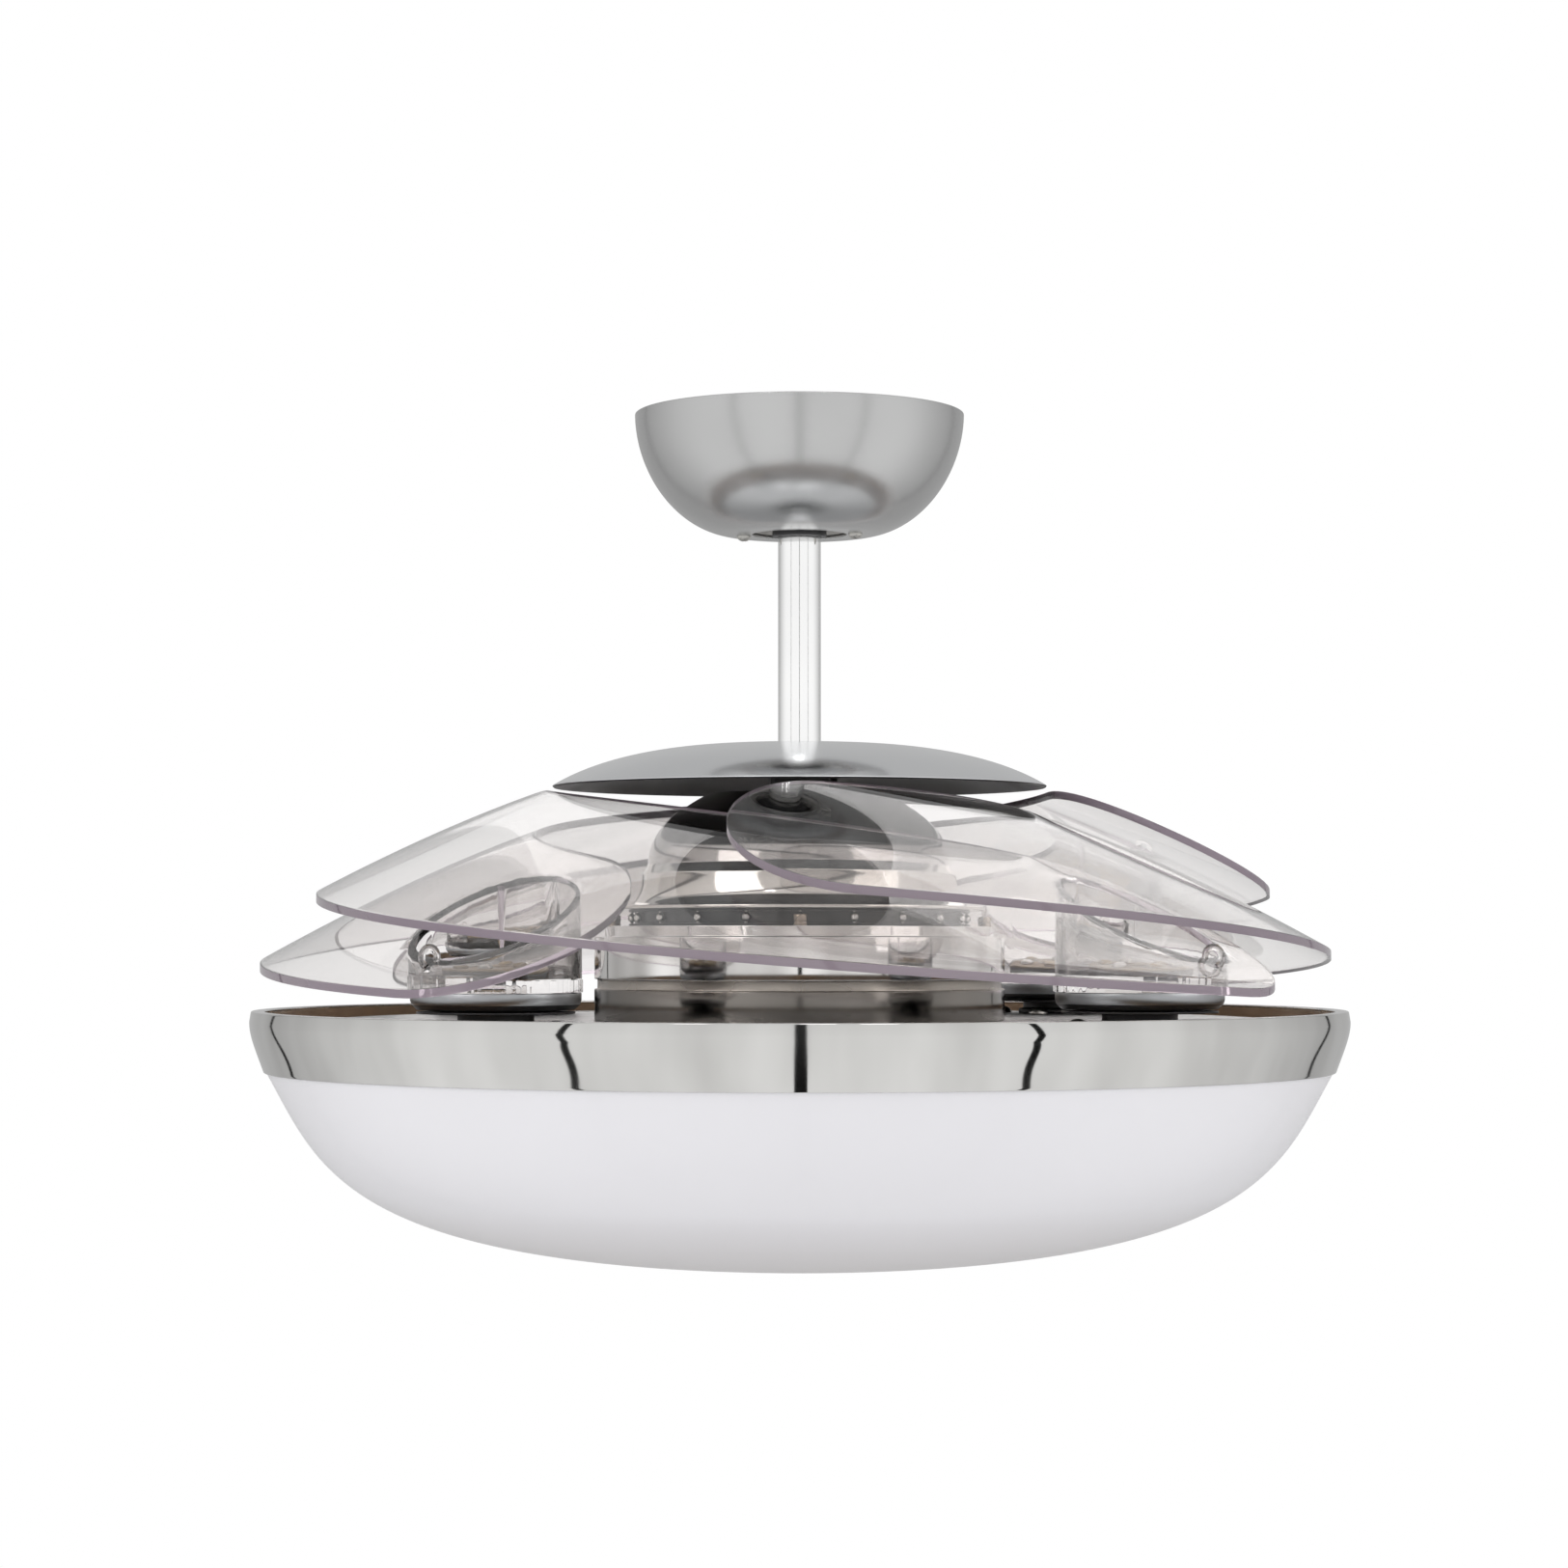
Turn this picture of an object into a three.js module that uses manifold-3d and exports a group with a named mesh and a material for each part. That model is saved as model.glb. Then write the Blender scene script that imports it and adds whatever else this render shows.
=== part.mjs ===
// Ceiling fan with four clear blades that fold over a lit bowl and swing out when it turns.
// Millimetres, +Z up. The origin is the centre of the ceiling face, so every height is negative.
import * as THREE from 'three';
import { mergeVertices } from 'three/addons/utils/BufferGeometryUtils.js';
import Module from 'manifold-3d';

const wasm = await Module();
wasm.setup();

// ---- Driving sizes -------------------------------------------------------------------------
const TOUCH_GAP = 0.3; // left between pieces that lie on one another without being joined
const RUN_GAP = 0.2; // radial gap of a turning fit
const BLADE_COUNT = 4;
const FIRST_PIVOT_DEG = 48.3; // angle of the first blade's pivot, seen from above

const CANOPY_R = 82;
const CANOPY_H = 60;
const CANOPY_WALL = 1.5;
const CANOPY_CURVE = 1.9; // exponent of the superellipse from the ceiling to the flat bottom
const CANOPY_FLAT_R = 33;
const CANOPY_HOLE_R = 23.5;
const CANOPY_SCREW_R = 28.3;
const CANOPY_SCREW_DEG = -12;
const SCREW_R = 1.7;
const SCREW_L = 8;
const SCREW_HEAD_R = 3.6;
const SCREW_HEAD_H = 2.6;

const PLATE_L = 128;
const PLATE_W = 40;
const PLATE_T = 2.5;
const SLOT_L = 22;
const SLOT_W = 6;
const SLOT_X = 46;
const LEG_T = 2.5;
const LEG_W = 30;

const BALL_R = 24;
const BALL_TOP_CUT = 20; // flat top of the ball, above its centre
const LINER_GAP = 0.5;
const LINER_T = 0.7;
const BALL_RISE = 20.2; // ball's centre above the foot of its socket
const SOCKET_MOUTH_R = 19;
const SOCKET_R = 33;
const SOCKET_TOP = 5; // top of the socket below the ball's centre
const COLLAR_R = 13.5;
const TILT_ROOM_DEG = 51; // the liner ends this far from straight down, clear of the collar

const ROD_R = 10.65;
const ROD_WALL = 1.6;
const PIN_R = 3;
const PIN_RISE = 8; // pin above the ball's centre

const SAUCER_TOP = -164.4;
const SAUCER_R = 122.7;
const SAUCER_H = 21;
const SAUCER_WALL = 1.6;
const SAUCER_BEND = 16; // length of the turned-down outer slope

const YOKE_R = 15;
const ROD_IN_YOKE = 24;
const YOKE_SHAFT_GRIP = 14;
const SHAFT_R = 8;
const SHAFT_BORE_R = 4.5;
const SHAFT_FLANGE_R = 13;
const SHAFT_FLANGE_T = 1.4;

const BELL_TOP = -188.8;
const BELL_TOP_R = 44.8;
const BELL_WAIST_R = 75.2;
const BELL_WAIST_DROP = 36; // from the bell's top to where its side stands upright
const BELL_FLANGE_R = 92;
const BELL_H = 58.4;
const BELL_FLANGE_RISE = 17.7;
const BELL_WALL = 1.8;
const BELL_HOLE_R = 20;

const VENT_R = 84.6;
const VENT_H = 8.2;
const VENT_WALL = 3.2;
const VENT_HOOP_H = 1.2;
const VENT_POSTS = 20;
const VENT_POST_W = 3;

const DRUM_R = 101.6;
const DRUM_H = 45.6;
const DRUM_WALL = 3;
const DRUM_STEP_R = 96.3;
const DRUM_STEP_H = 5.3;
const DRUM_GROOVE_R = 100.1;
const DRUM_GROOVE_DROP = 25.4;
const DRUM_GROOVE_H = 4.8;
const HOUSING_SCREW_R = 92;
const HOUSING_HEAD_R = 3.35;
const HOUSING_HEAD_H = 5.2;
const STATOR_GAP = 2;
const BEARING_R = 14;
const BEARING_H = 8;
const BEARING_SHIELD = 1.2; // the bearing boss stands this far past the bearing

const PIVOT_R = 208;
const CARRIER_EDGE = 27; // plate beyond the pivots
const CARRIER_R = PIVOT_R + CARRIER_EDGE;
const CARRIER_T = 3;
const CARRIER_BOSS_R = 26;
const CARRIER_BOSS_H = 6.2;
const POST_R = 19.8;
const POST_H = 7.8;
const SPINDLE_R = 6;
const DISC_R = 38.8;
const DISC_T = 7.9;
const DISC_LIP = 1.4;

const BLADE_T = 3.8; // measured straight down through the panel
const BLADE_BASE_R = 39;
const BLADE_BASE_T = 6.1;
const CUP_WALL = 2.5;
const CUP_CUT_H = 80; // height of the cutting cylinder, well past the panel
const ROOT_ROUND_R = 61.5;
const TIP_ROUND_R = 56.5;
const TIP_AT_R = 181;
const TIP_AT_DEG = 131; // round the axis from the blade's own pivot
const OUTER_EDGE_R = 250.5;
const INNER_EDGE_R = 144.6;
const BLADE_TOP_AT_PIVOT = 34.6; // panel's top above the blade's base disc bottom, at the pivot
const DOME_SLOPE = 0.8;
const DOME_BEND_R = 270;
const BLADE_RISE_PER_DEG = 0.21;
const CLAMP_R = 24;
const CLAMP_T = 1.6;

const GEAR_MODULE = 4;
const PLANET_TEETH = 12;
const SUN_TEETH = (2 * PIVOT_R) / GEAR_MODULE - PLANET_TEETH;
const PRESSURE_ANGLE = THREE.MathUtils.degToRad(25);
const ADDENDUM = 0.8;
const DEDENDUM = 1.05;
const BACKLASH = 0.5;
const GEAR_T = 5;
const FOLD_DEG = 135;
const SUN_HUB_WALL = 10;
const SUN_ARM_W = 16;
const SUN_RIM_W = 10;
const RETAINER_T = 1.2;
const RETAINER_LAP = 4; // how far the retainer reaches under the gear

const RIM_R = 270;
const RIM_BAND_H = 29.7;
const RIM_FOOT_IN = 7; // how far the band's foot is drawn in
const RIM_FOOT_R = RIM_R - RIM_FOOT_IN;
const RIM_WALL = 1.3;
const RIM_LIP_R = RIM_FOOT_R - 1;
const PAN_DEPTH = 17.4;
const PAN_WALL = 1.5;
const PAN_SIDE_GAP = 3;
const PAN_FOOT_W = 4; // foot of the pan's wall, on its floor
const PAN_DROP = 1.9; // free height between the gear's retainer and the pan
const BOWL_DROP = 95.4; // from the band's foot to the bottom of the bowl
const BOWL_WALL = 3;
const BOWL_NECK_H = 7;
const BOWL_STRAIGHT = 47; // pull of the steep stretch under the band
const BOWL_LEAN = 0.56; // how far that stretch leans in for each millimetre down
const BOWL_FLAT = 225; // pull of the shallow bottom
const NUT_R = 13;
const NUT_H = 5;
const LIGHT_PLATE_R = 118;
const LIGHT_PLATE_T = 1.5;
const LIGHT_PLATE_DROP = 8;
const LIGHT_POST_R = 4;

const ROUND = { rim: 36, large: 30, medium: 20, small: 12, tiny: 8 };

// ---- Heights that follow from the driving sizes ---------------------------------------------
const rad = THREE.MathUtils.degToRad;
const BALL_Z = -(CANOPY_H - CANOPY_WALL - TOUCH_GAP) + BALL_RISE;
const ROD_TOP = BALL_Z + BALL_TOP_CUT + 2;
const YOKE_TOP = SAUCER_TOP - SAUCER_WALL;
const ROD_END = YOKE_TOP - ROD_IN_YOKE;
const YOKE_SEAT = ROD_END - TOUCH_GAP;
const SHAFT_TOP = YOKE_SEAT - TOUCH_GAP;
const YOKE_END = SHAFT_TOP - YOKE_SHAFT_GRIP;
const VENT_TOP = BELL_TOP - BELL_H;
const DRUM_TOP = VENT_TOP - VENT_H;
const CARRIER_TOP = DRUM_TOP - DRUM_H;
const CARRIER_BOTTOM = CARRIER_TOP - CARRIER_T;
const BOSS_END = CARRIER_BOTTOM - CARRIER_BOSS_H;
const POST_TOP = CARRIER_TOP + POST_H;
const DISC_BOTTOM = POST_TOP + TOUCH_GAP;
const BASE_BOTTOM = DISC_BOTTOM + DISC_T;
const CUP_FLOOR = BASE_BOTTOM + BLADE_BASE_T;
const GEAR_TOP = CARRIER_BOTTOM - TOUCH_GAP;
const GEAR_BOTTOM = GEAR_TOP - GEAR_T;
const RETAINER_BOTTOM = BOSS_END - RETAINER_T;
const PAN_FLOOR = RETAINER_BOTTOM - PAN_DROP;
const RIM_TOP = PAN_FLOOR + PAN_DEPTH - PAN_WALL + RIM_WALL;
const RIM_FOOT = RIM_TOP - RIM_BAND_H;
const PAN_BOTTOM = PAN_FLOOR - PAN_WALL;
const BOWL_BOTTOM = RIM_FOOT - BOWL_DROP;
const PLANET_PITCH_R = (GEAR_MODULE * PLANET_TEETH) / 2;
const SUN_PITCH_R = (GEAR_MODULE * SUN_TEETH) / 2;

// ---- Colours --------------------------------------------------------------------------------
const material = (color, roughness, metalness, extra = {}) =>
  new THREE.MeshStandardMaterial({ color, roughness, metalness, ...extra });
const chrome = material(0xb4b6ba, 0.12, 1);
const brushedMetal = material(0x9a9fa3, 0.38, 1);
const darkSteel = material(0x3a3b3f, 0.55, 0.8);
const zincSteel = material(0xb8b6ae, 0.4, 0.9);
const blackPlastic = material(0x121214, 0.4, 0);
const whiteNylon = material(0xe9e7df, 0.5, 0);
const clearPlastic = material(0xe4dfe2, 0.08, 0, { transparent: true, opacity: 0.35 });
const beigePaint = material(0xab8a70, 0.5, 0.1);
const opalGlass = material(0xefefec, 0.3, 0);
const brassScrew = material(0x9c7c4a, 0.35, 0.9);

// ---- Solids ---------------------------------------------------------------------------------
// A closed three.js geometry as a solid that can be joined and cut.
function solidFrom(geometry) {
  const bare = geometry.index ? geometry : geometry.clone();
  bare.deleteAttribute('normal');
  bare.deleteAttribute('uv');
  const merged = mergeVertices(bare, 1e-4);
  const triangles = [];
  const index = merged.index.array;
  for (let i = 0; i < index.length; i += 3) {
    const [a, b, c] = [index[i], index[i + 1], index[i + 2]];
    if (a !== b && b !== c && c !== a) triangles.push(a, b, c);
  }
  return new wasm.Manifold(new wasm.Mesh({
    numProp: 3,
    vertProperties: new Float32Array(merged.attributes.position.array),
    triVerts: new Uint32Array(triangles),
  }));
}

function geometryFrom(solid) {
  const mesh = solid.getMesh();
  const geometry = new THREE.BufferGeometry();
  geometry.setAttribute('position', new THREE.BufferAttribute(mesh.vertProperties, 3));
  geometry.setIndex(new THREE.BufferAttribute(mesh.triVerts, 1));
  geometry.computeVertexNormals();
  return geometry;
}

// Turns a closed outline of [radius, height] points round the Z axis.
function revolve(outline, segments) {
  let area = 0;
  outline.forEach(([r, z], i) => {
    const [nextR, nextZ] = outline[(i + 1) % outline.length];
    area += r * nextZ - nextR * z;
  });
  const points = (area > 0 ? outline : [...outline].reverse()).map(([r, z]) => new THREE.Vector2(r, z));
  points.push(points[0].clone());
  return solidFrom(new THREE.LatheGeometry(points, segments).rotateX(Math.PI / 2));
}

// A straight cylinder or tube between two heights.
function tube(outerR, innerR, low, high, segments) {
  return revolve([[innerR, low], [outerR, low], [outerR, high], [innerR, high]], segments);
}

function rod(radius, low, high, segments, x = 0, y = 0) {
  const geometry = new THREE.CylinderGeometry(radius, radius, high - low, segments);
  return solidFrom(geometry.rotateX(Math.PI / 2).translate(x, y, (low + high) / 2));
}

function crossRod(radius, from, to, z, segments) {
  const geometry = new THREE.CylinderGeometry(radius, radius, to - from, segments);
  return solidFrom(geometry.rotateZ(Math.PI / 2).translate((from + to) / 2, 0, z));
}

function box(sizeX, sizeY, low, high, x = 0, y = 0) {
  return solidFrom(new THREE.BoxGeometry(sizeX, sizeY, high - low).translate(x, y, (low + high) / 2));
}

function plate(shape, low, high, curveSegments = 8) {
  const depth = high - low;
  const geometry = new THREE.ExtrudeGeometry(shape, { depth, bevelEnabled: false, curveSegments });
  return solidFrom(geometry.translate(0, 0, low));
}

// A hole that a round piece turns in stays clear of it although both have flat facets.
const boreR = (shaftR, gap, segments) => (shaftR + gap) / Math.cos(Math.PI / segments);

const polar = (r, angle) => [r * Math.cos(angle), r * Math.sin(angle)];

function arcPoints(centreZ, radius, fromDeg, toDeg, steps) {
  return Array.from({ length: steps + 1 }, (_, i) => {
    const a = rad(fromDeg + ((toDeg - fromDeg) * i) / steps);
    return [radius * Math.sin(a), centreZ - radius * Math.cos(a)];
  });
}

// A run of [radius, height] points along a cubic curve.
function curvePoints(a, b, c, d, steps) {
  const curve = new THREE.CubicBezierCurve(...[a, b, c, d].map(([r, z]) => new THREE.Vector2(r, z)));
  return curve.getPoints(steps).map((p) => [p.x, p.y]);
}

const root = new THREE.Group();

function add(name, solid, surface, parent = root) {
  const mesh = new THREE.Mesh(geometryFrom(solid), surface);
  mesh.name = name;
  parent.add(mesh);
  return mesh;
}

// ---- Ceiling side: canopy, bracket and their screws --------------------------------------------
// The canopy bows down from the ceiling to a flat bottom with a hole for the ball.
function canopyOutline(inset, steps) {
  return Array.from({ length: steps + 1 }, (_, i) => {
    const t = (i / steps) * (Math.PI / 2);
    const across = Math.cos(t) ** (2 / CANOPY_CURVE);
    const down = Math.sin(t) ** (2 / CANOPY_CURVE);
    return [CANOPY_FLAT_R + (CANOPY_R - inset - CANOPY_FLAT_R) * across, -(CANOPY_H - inset) * down];
  });
}

function screwSpots() {
  return [0, 180].map((turn) => polar(CANOPY_SCREW_R, rad(CANOPY_SCREW_DEG + turn)));
}

function makeCanopy() {
  const outside = [...canopyOutline(0, 8), [CANOPY_HOLE_R, -CANOPY_H]];
  const inside = [...canopyOutline(CANOPY_WALL, 5), [CANOPY_HOLE_R, -CANOPY_H + CANOPY_WALL]];
  let canopy = revolve([...outside, ...inside.reverse()], ROUND.large);
  const holeTop = -CANOPY_H + CANOPY_WALL + 1;
  for (const [x, y] of screwSpots()) {
    canopy = canopy.subtract(rod(SCREW_R + RUN_GAP, -CANOPY_H - 1, holeTop, ROUND.tiny, x, y));
  }
  return canopy;
}

// Flat plate on the ceiling, two legs, and the open socket that the ball hangs in.
function makeBracket() {
  const outline = new THREE.Shape();
  const half = PLATE_L / 2 - PLATE_W / 2;
  outline.absarc(half, 0, PLATE_W / 2, -Math.PI / 2, Math.PI / 2);
  outline.absarc(-half, 0, PLATE_W / 2, Math.PI / 2, (3 * Math.PI) / 2);
  for (const side of [-1, 1]) {
    const slot = new THREE.Path();
    const run = (SLOT_L - SLOT_W) / 2;
    slot.absarc(side * SLOT_X + run, 0, SLOT_W / 2, -Math.PI / 2, Math.PI / 2);
    slot.absarc(side * SLOT_X - run, 0, SLOT_W / 2, Math.PI / 2, (3 * Math.PI) / 2);
    outline.holes.push(slot);
  }
  let bracket = plate(outline, -PLATE_T, 0, 6);
  const socketLow = -CANOPY_H + CANOPY_WALL + TOUCH_GAP;
  const socketHigh = BALL_Z - SOCKET_TOP;
  const seatR = BALL_R + 2 * LINER_GAP + LINER_T;
  const mouthDeg = THREE.MathUtils.radToDeg(Math.asin(SOCKET_MOUTH_R / seatR));
  const topDeg = THREE.MathUtils.radToDeg(Math.acos(SOCKET_TOP / seatR));
  const seat = arcPoints(BALL_Z, seatR, mouthDeg, topDeg, 4);
  const socket = revolve([
    ...seat, [SOCKET_R - 3, socketHigh], [SOCKET_R, socketHigh - 3], [SOCKET_R, socketLow],
    [SOCKET_MOUTH_R + 3.5, socketLow],
  ], ROUND.medium);
  bracket = bracket.add(socket);
  for (const side of [-1, 1]) {
    const x = side * (SOCKET_R - LEG_T / 2 + 1);
    bracket = bracket.add(box(LEG_T, LEG_W, socketLow + 6, -PLATE_T / 2, x));
  }
  for (const [x, y] of screwSpots()) {
    bracket = bracket.subtract(rod(SCREW_R + RUN_GAP, socketLow - 1, socketLow + 8, ROUND.tiny, x, y));
  }
  return bracket;
}

// Dome-head screw pointing up, with its head under z = 0.
function makeScrew(headR, headH, shankR, shankL, segments) {
  return revolve([
    [0, -headH], [headR * 0.55, -headH * 0.86], [headR * 0.9, -headH * 0.45], [headR, 0],
    [shankR, 0], [shankR, shankL], [0, shankL],
  ], segments);
}

add('canopy', makeCanopy(), chrome);
add('hanger_bracket', makeBracket(), zincSteel);
screwSpots().forEach(([x, y], i) => {
  const screwSolid = makeScrew(SCREW_HEAD_R, SCREW_HEAD_H, SCREW_R, SCREW_L, ROUND.tiny);
  const screw = add(`canopy_screw_${i + 1}`, screwSolid, zincSteel);
  screw.position.set(x, y, -CANOPY_H);
});

// ---- Ball, liner and rod -----------------------------------------------------------------------
function makeLiner() {
  const inner = arcPoints(BALL_Z, BALL_R + LINER_GAP, TILT_ROOM_DEG, 78, 3);
  const outer = arcPoints(BALL_Z, BALL_R + LINER_GAP + LINER_T, TILT_ROOM_DEG, 78, 3);
  return revolve([...inner, ...outer.reverse()], ROUND.medium);
}

// The ball has a flat top, a bore for the rod and a short collar below.
function makeBall() {
  const topDeg = THREE.MathUtils.radToDeg(Math.acos(-BALL_TOP_CUT / BALL_R));
  const collarDeg = THREE.MathUtils.radToDeg(Math.asin(COLLAR_R / BALL_R));
  const bore = boreR(ROD_R, RUN_GAP, ROUND.medium);
  const collarEnd = BALL_Z - BALL_R + 1;
  const ball = revolve([
    [bore, collarEnd], [COLLAR_R, collarEnd], ...arcPoints(BALL_Z, BALL_R, collarDeg, topDeg, 8),
    [bore, BALL_Z + BALL_TOP_CUT],
  ], ROUND.medium);
  return ball.subtract(crossRod(PIN_R + RUN_GAP, -BALL_R, BALL_R, BALL_Z + PIN_RISE, ROUND.tiny));
}

function makeDownrod() {
  return tube(ROD_R, ROD_R - ROD_WALL, ROD_END, ROD_TOP, ROUND.medium)
    .subtract(crossRod(PIN_R + RUN_GAP, -BALL_R, BALL_R, BALL_Z + PIN_RISE, ROUND.tiny))
    .subtract(crossRod(PIN_R + RUN_GAP, -BALL_R, BALL_R, YOKE_TOP - ROD_IN_YOKE / 2, ROUND.tiny));
}

add('ball_liner', makeLiner(), whiteNylon);
add('hanger_ball', makeBall(), blackPlastic);
add('downrod', makeDownrod(), chrome);
const pinReach = Math.sqrt(BALL_R ** 2 - (PIN_RISE + PIN_R) ** 2) - 1;
add('ball_pin', crossRod(PIN_R, -pinReach, pinReach, BALL_Z + PIN_RISE, ROUND.tiny), zincSteel);

// ---- Yoke, saucer cover and shaft ----------------------------------------------------------------
// The yoke grips the rod above and the hollow motor shaft below.
function makeYoke() {
  const rodBore = boreR(ROD_R, RUN_GAP, ROUND.medium);
  const shaftBore = boreR(SHAFT_R, RUN_GAP, ROUND.medium);
  const boltZ = YOKE_TOP - ROD_IN_YOKE / 2;
  const boltHole = crossRod(PIN_R + RUN_GAP, -YOKE_R - 1, YOKE_R + 1, boltZ, ROUND.tiny);
  return revolve([
    [shaftBore, YOKE_END], [YOKE_R - 2, YOKE_END], [YOKE_R, YOKE_END + 2], [YOKE_R, YOKE_TOP],
    [rodBore, YOKE_TOP], [rodBore, YOKE_SEAT], [shaftBore, YOKE_SEAT],
  ], ROUND.medium).subtract(boltHole);
}

function makeYokeBolt() {
  const z = YOKE_TOP - ROD_IN_YOKE / 2;
  const shank = crossRod(PIN_R, -YOKE_R - 1, YOKE_R + 3, z, ROUND.tiny);
  return shank.add(crossRod(PIN_R * 1.7, YOKE_R + TOUCH_GAP, YOKE_R + TOUCH_GAP + 3.5, z, 6));
}

// Nearly flat top, a long shallow fall and a steeper outer slope down to a thin edge.
function saucerOutline(drop, radius, height, steps) {
  const start = [YOKE_R + 8, SAUCER_TOP - drop];
  const end = [radius, SAUCER_TOP - drop - height];
  const lean = [radius - SAUCER_BEND, end[1] + SAUCER_BEND * 0.62];
  return curvePoints(start, [radius * 0.62, start[1]], lean, end, steps);
}

function makeSaucer() {
  const hole = boreR(ROD_R, RUN_GAP, ROUND.large);
  const top = saucerOutline(0, SAUCER_R, SAUCER_H, 6);
  const under = saucerOutline(SAUCER_WALL, SAUCER_R - 0.9, SAUCER_H - 0.6, 4);
  const outline = [[hole, SAUCER_TOP], ...top, ...under.reverse(), [hole, SAUCER_TOP - SAUCER_WALL]];
  return revolve(outline, ROUND.large);
}

// The hollow shaft stays still; its flange carries the pan, and the wires to the lamp pass inside.
function makeShaft() {
  const end = PAN_BOTTOM - NUT_H - 3;
  const flangeTop = PAN_FLOOR + SHAFT_FLANGE_T;
  return revolve([
    [SHAFT_BORE_R, end], [SHAFT_R, end], [SHAFT_R, PAN_FLOOR], [SHAFT_FLANGE_R, PAN_FLOOR],
    [SHAFT_FLANGE_R, flangeTop], [SHAFT_R, flangeTop], [SHAFT_R, SHAFT_TOP], [SHAFT_BORE_R, SHAFT_TOP],
  ], ROUND.medium);
}

add('yoke', makeYoke(), darkSteel);
add('yoke_bolt', makeYokeBolt(), zincSteel);
add('saucer_cover', makeSaucer(), chrome);
add('motor_shaft', makeShaft(), zincSteel);

// ---- Turning motor housing ---------------------------------------------------------------------
// Bell: flat top, sloping shoulder, upright waist with a groove, and a flared flange.
function bellOutline(inset, shoulderSteps, flareSteps) {
  const foot = BELL_TOP - BELL_H;
  const waistZ = BELL_TOP - BELL_WAIST_DROP;
  const flangeTop = foot + BELL_WALL - inset;
  const shoulder = curvePoints(
    [BELL_TOP_R - inset, BELL_TOP - inset], [BELL_TOP_R + 9 - inset, BELL_TOP - 5 - inset],
    [BELL_WAIST_R - inset, waistZ + 20], [BELL_WAIST_R - inset, waistZ], shoulderSteps);
  const flare = curvePoints(
    [BELL_WAIST_R + 2.8 - inset, foot + BELL_FLANGE_RISE - inset], [BELL_WAIST_R + 3.5 - inset, foot + 6],
    [BELL_WAIST_R + 7 - inset, flangeTop], [BELL_FLANGE_R - 4 - inset, flangeTop], flareSteps);
  return [...shoulder, ...flare];
}

function makeBell() {
  const foot = BELL_TOP - BELL_H;
  const inside = bellOutline(BELL_WALL, 3, 2).reverse();
  inside[0] = [inside[0][0], foot];
  return revolve([
    [BELL_HOLE_R, BELL_TOP], ...bellOutline(0, 5, 3), [BELL_FLANGE_R, foot + BELL_WALL],
    [BELL_FLANGE_R, foot], ...inside, [BELL_HOLE_R, BELL_TOP - BELL_WALL],
  ], ROUND.large);
}

// Two hoops held apart by posts, open between them to cool the motor.
function makeVentRing() {
  const low = DRUM_TOP;
  const high = VENT_TOP;
  let ring = tube(VENT_R, VENT_R - VENT_WALL, low, low + VENT_HOOP_H, ROUND.large)
    .add(tube(VENT_R, VENT_R - VENT_WALL, high - VENT_HOOP_H, high, ROUND.large));
  for (let i = 0; i < VENT_POSTS; i += 1) {
    const post = new THREE.BoxGeometry(VENT_WALL - 0.6, VENT_POST_W, VENT_H - VENT_HOOP_H)
      .translate(VENT_R - VENT_WALL / 2 - 0.2, 0, (low + high) / 2)
      .rotateZ(rad((360 / VENT_POSTS) * i));
    ring = ring.add(solidFrom(post));
  }
  return ring;
}

// Drum: stepped and grooved outside, open below, with a boss for the upper bearing.
function makeDrum() {
  const bore = boreR(BEARING_R, RUN_GAP, ROUND.medium);
  const inner = DRUM_R - DRUM_WALL;
  const grooveTop = DRUM_TOP - DRUM_GROOVE_DROP;
  let drum = revolve([
    [bore, DRUM_TOP], [DRUM_STEP_R, DRUM_TOP], [DRUM_STEP_R, DRUM_TOP - DRUM_STEP_H],
    [DRUM_R, DRUM_TOP - DRUM_STEP_H], [DRUM_R, grooveTop], [DRUM_GROOVE_R, grooveTop],
    [DRUM_GROOVE_R, grooveTop - DRUM_GROOVE_H], [DRUM_R, grooveTop - DRUM_GROOVE_H],
    [DRUM_R, CARRIER_TOP], [inner, CARRIER_TOP], [inner, DRUM_TOP - DRUM_STEP_H - DRUM_WALL],
    [DRUM_STEP_R - DRUM_WALL, DRUM_TOP - DRUM_WALL],
    [bore + 4, DRUM_TOP - DRUM_WALL], [bore + 4, DRUM_TOP - BEARING_H - BEARING_SHIELD],
    [bore, DRUM_TOP - BEARING_H - BEARING_SHIELD],
  ], ROUND.large);
  for (let i = 0; i < 4; i += 1) {
    const [x, y] = polar(HOUSING_SCREW_R, (i * Math.PI) / 2);
    drum = drum.subtract(rod(SCREW_R + RUN_GAP, DRUM_TOP - 4, DRUM_TOP + 1, ROUND.tiny, x, y));
  }
  return drum;
}

function makeHousingScrew() {
  const shank = rod(SCREW_R, -DRUM_WALL + 0.2, 1, ROUND.tiny);
  return rod(HOUSING_HEAD_R, 0, HOUSING_HEAD_H, ROUND.tiny).add(shank);
}

// Laminated core with rounded winding heads above and below it, round the still shaft.
function makeStator() {
  const high = DRUM_TOP - BEARING_H - BEARING_SHIELD - STATOR_GAP;
  const low = CARRIER_TOP + STATOR_GAP + 1;
  const bore = boreR(SHAFT_R, RUN_GAP, ROUND.medium);
  const coreR = DRUM_R - DRUM_WALL - STATOR_GAP;
  const head = 5;
  return revolve([
    [bore, low + head], [coreR - 30, low], [coreR - 10, low], [coreR, low + head],
    [coreR, high - head], [coreR - 10, high], [coreR - 30, high], [bore, high - head],
  ], ROUND.medium);
}

function makeBearing(low) {
  return tube(BEARING_R, boreR(SHAFT_R, RUN_GAP, ROUND.small), low, low + BEARING_H, ROUND.small);
}

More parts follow.
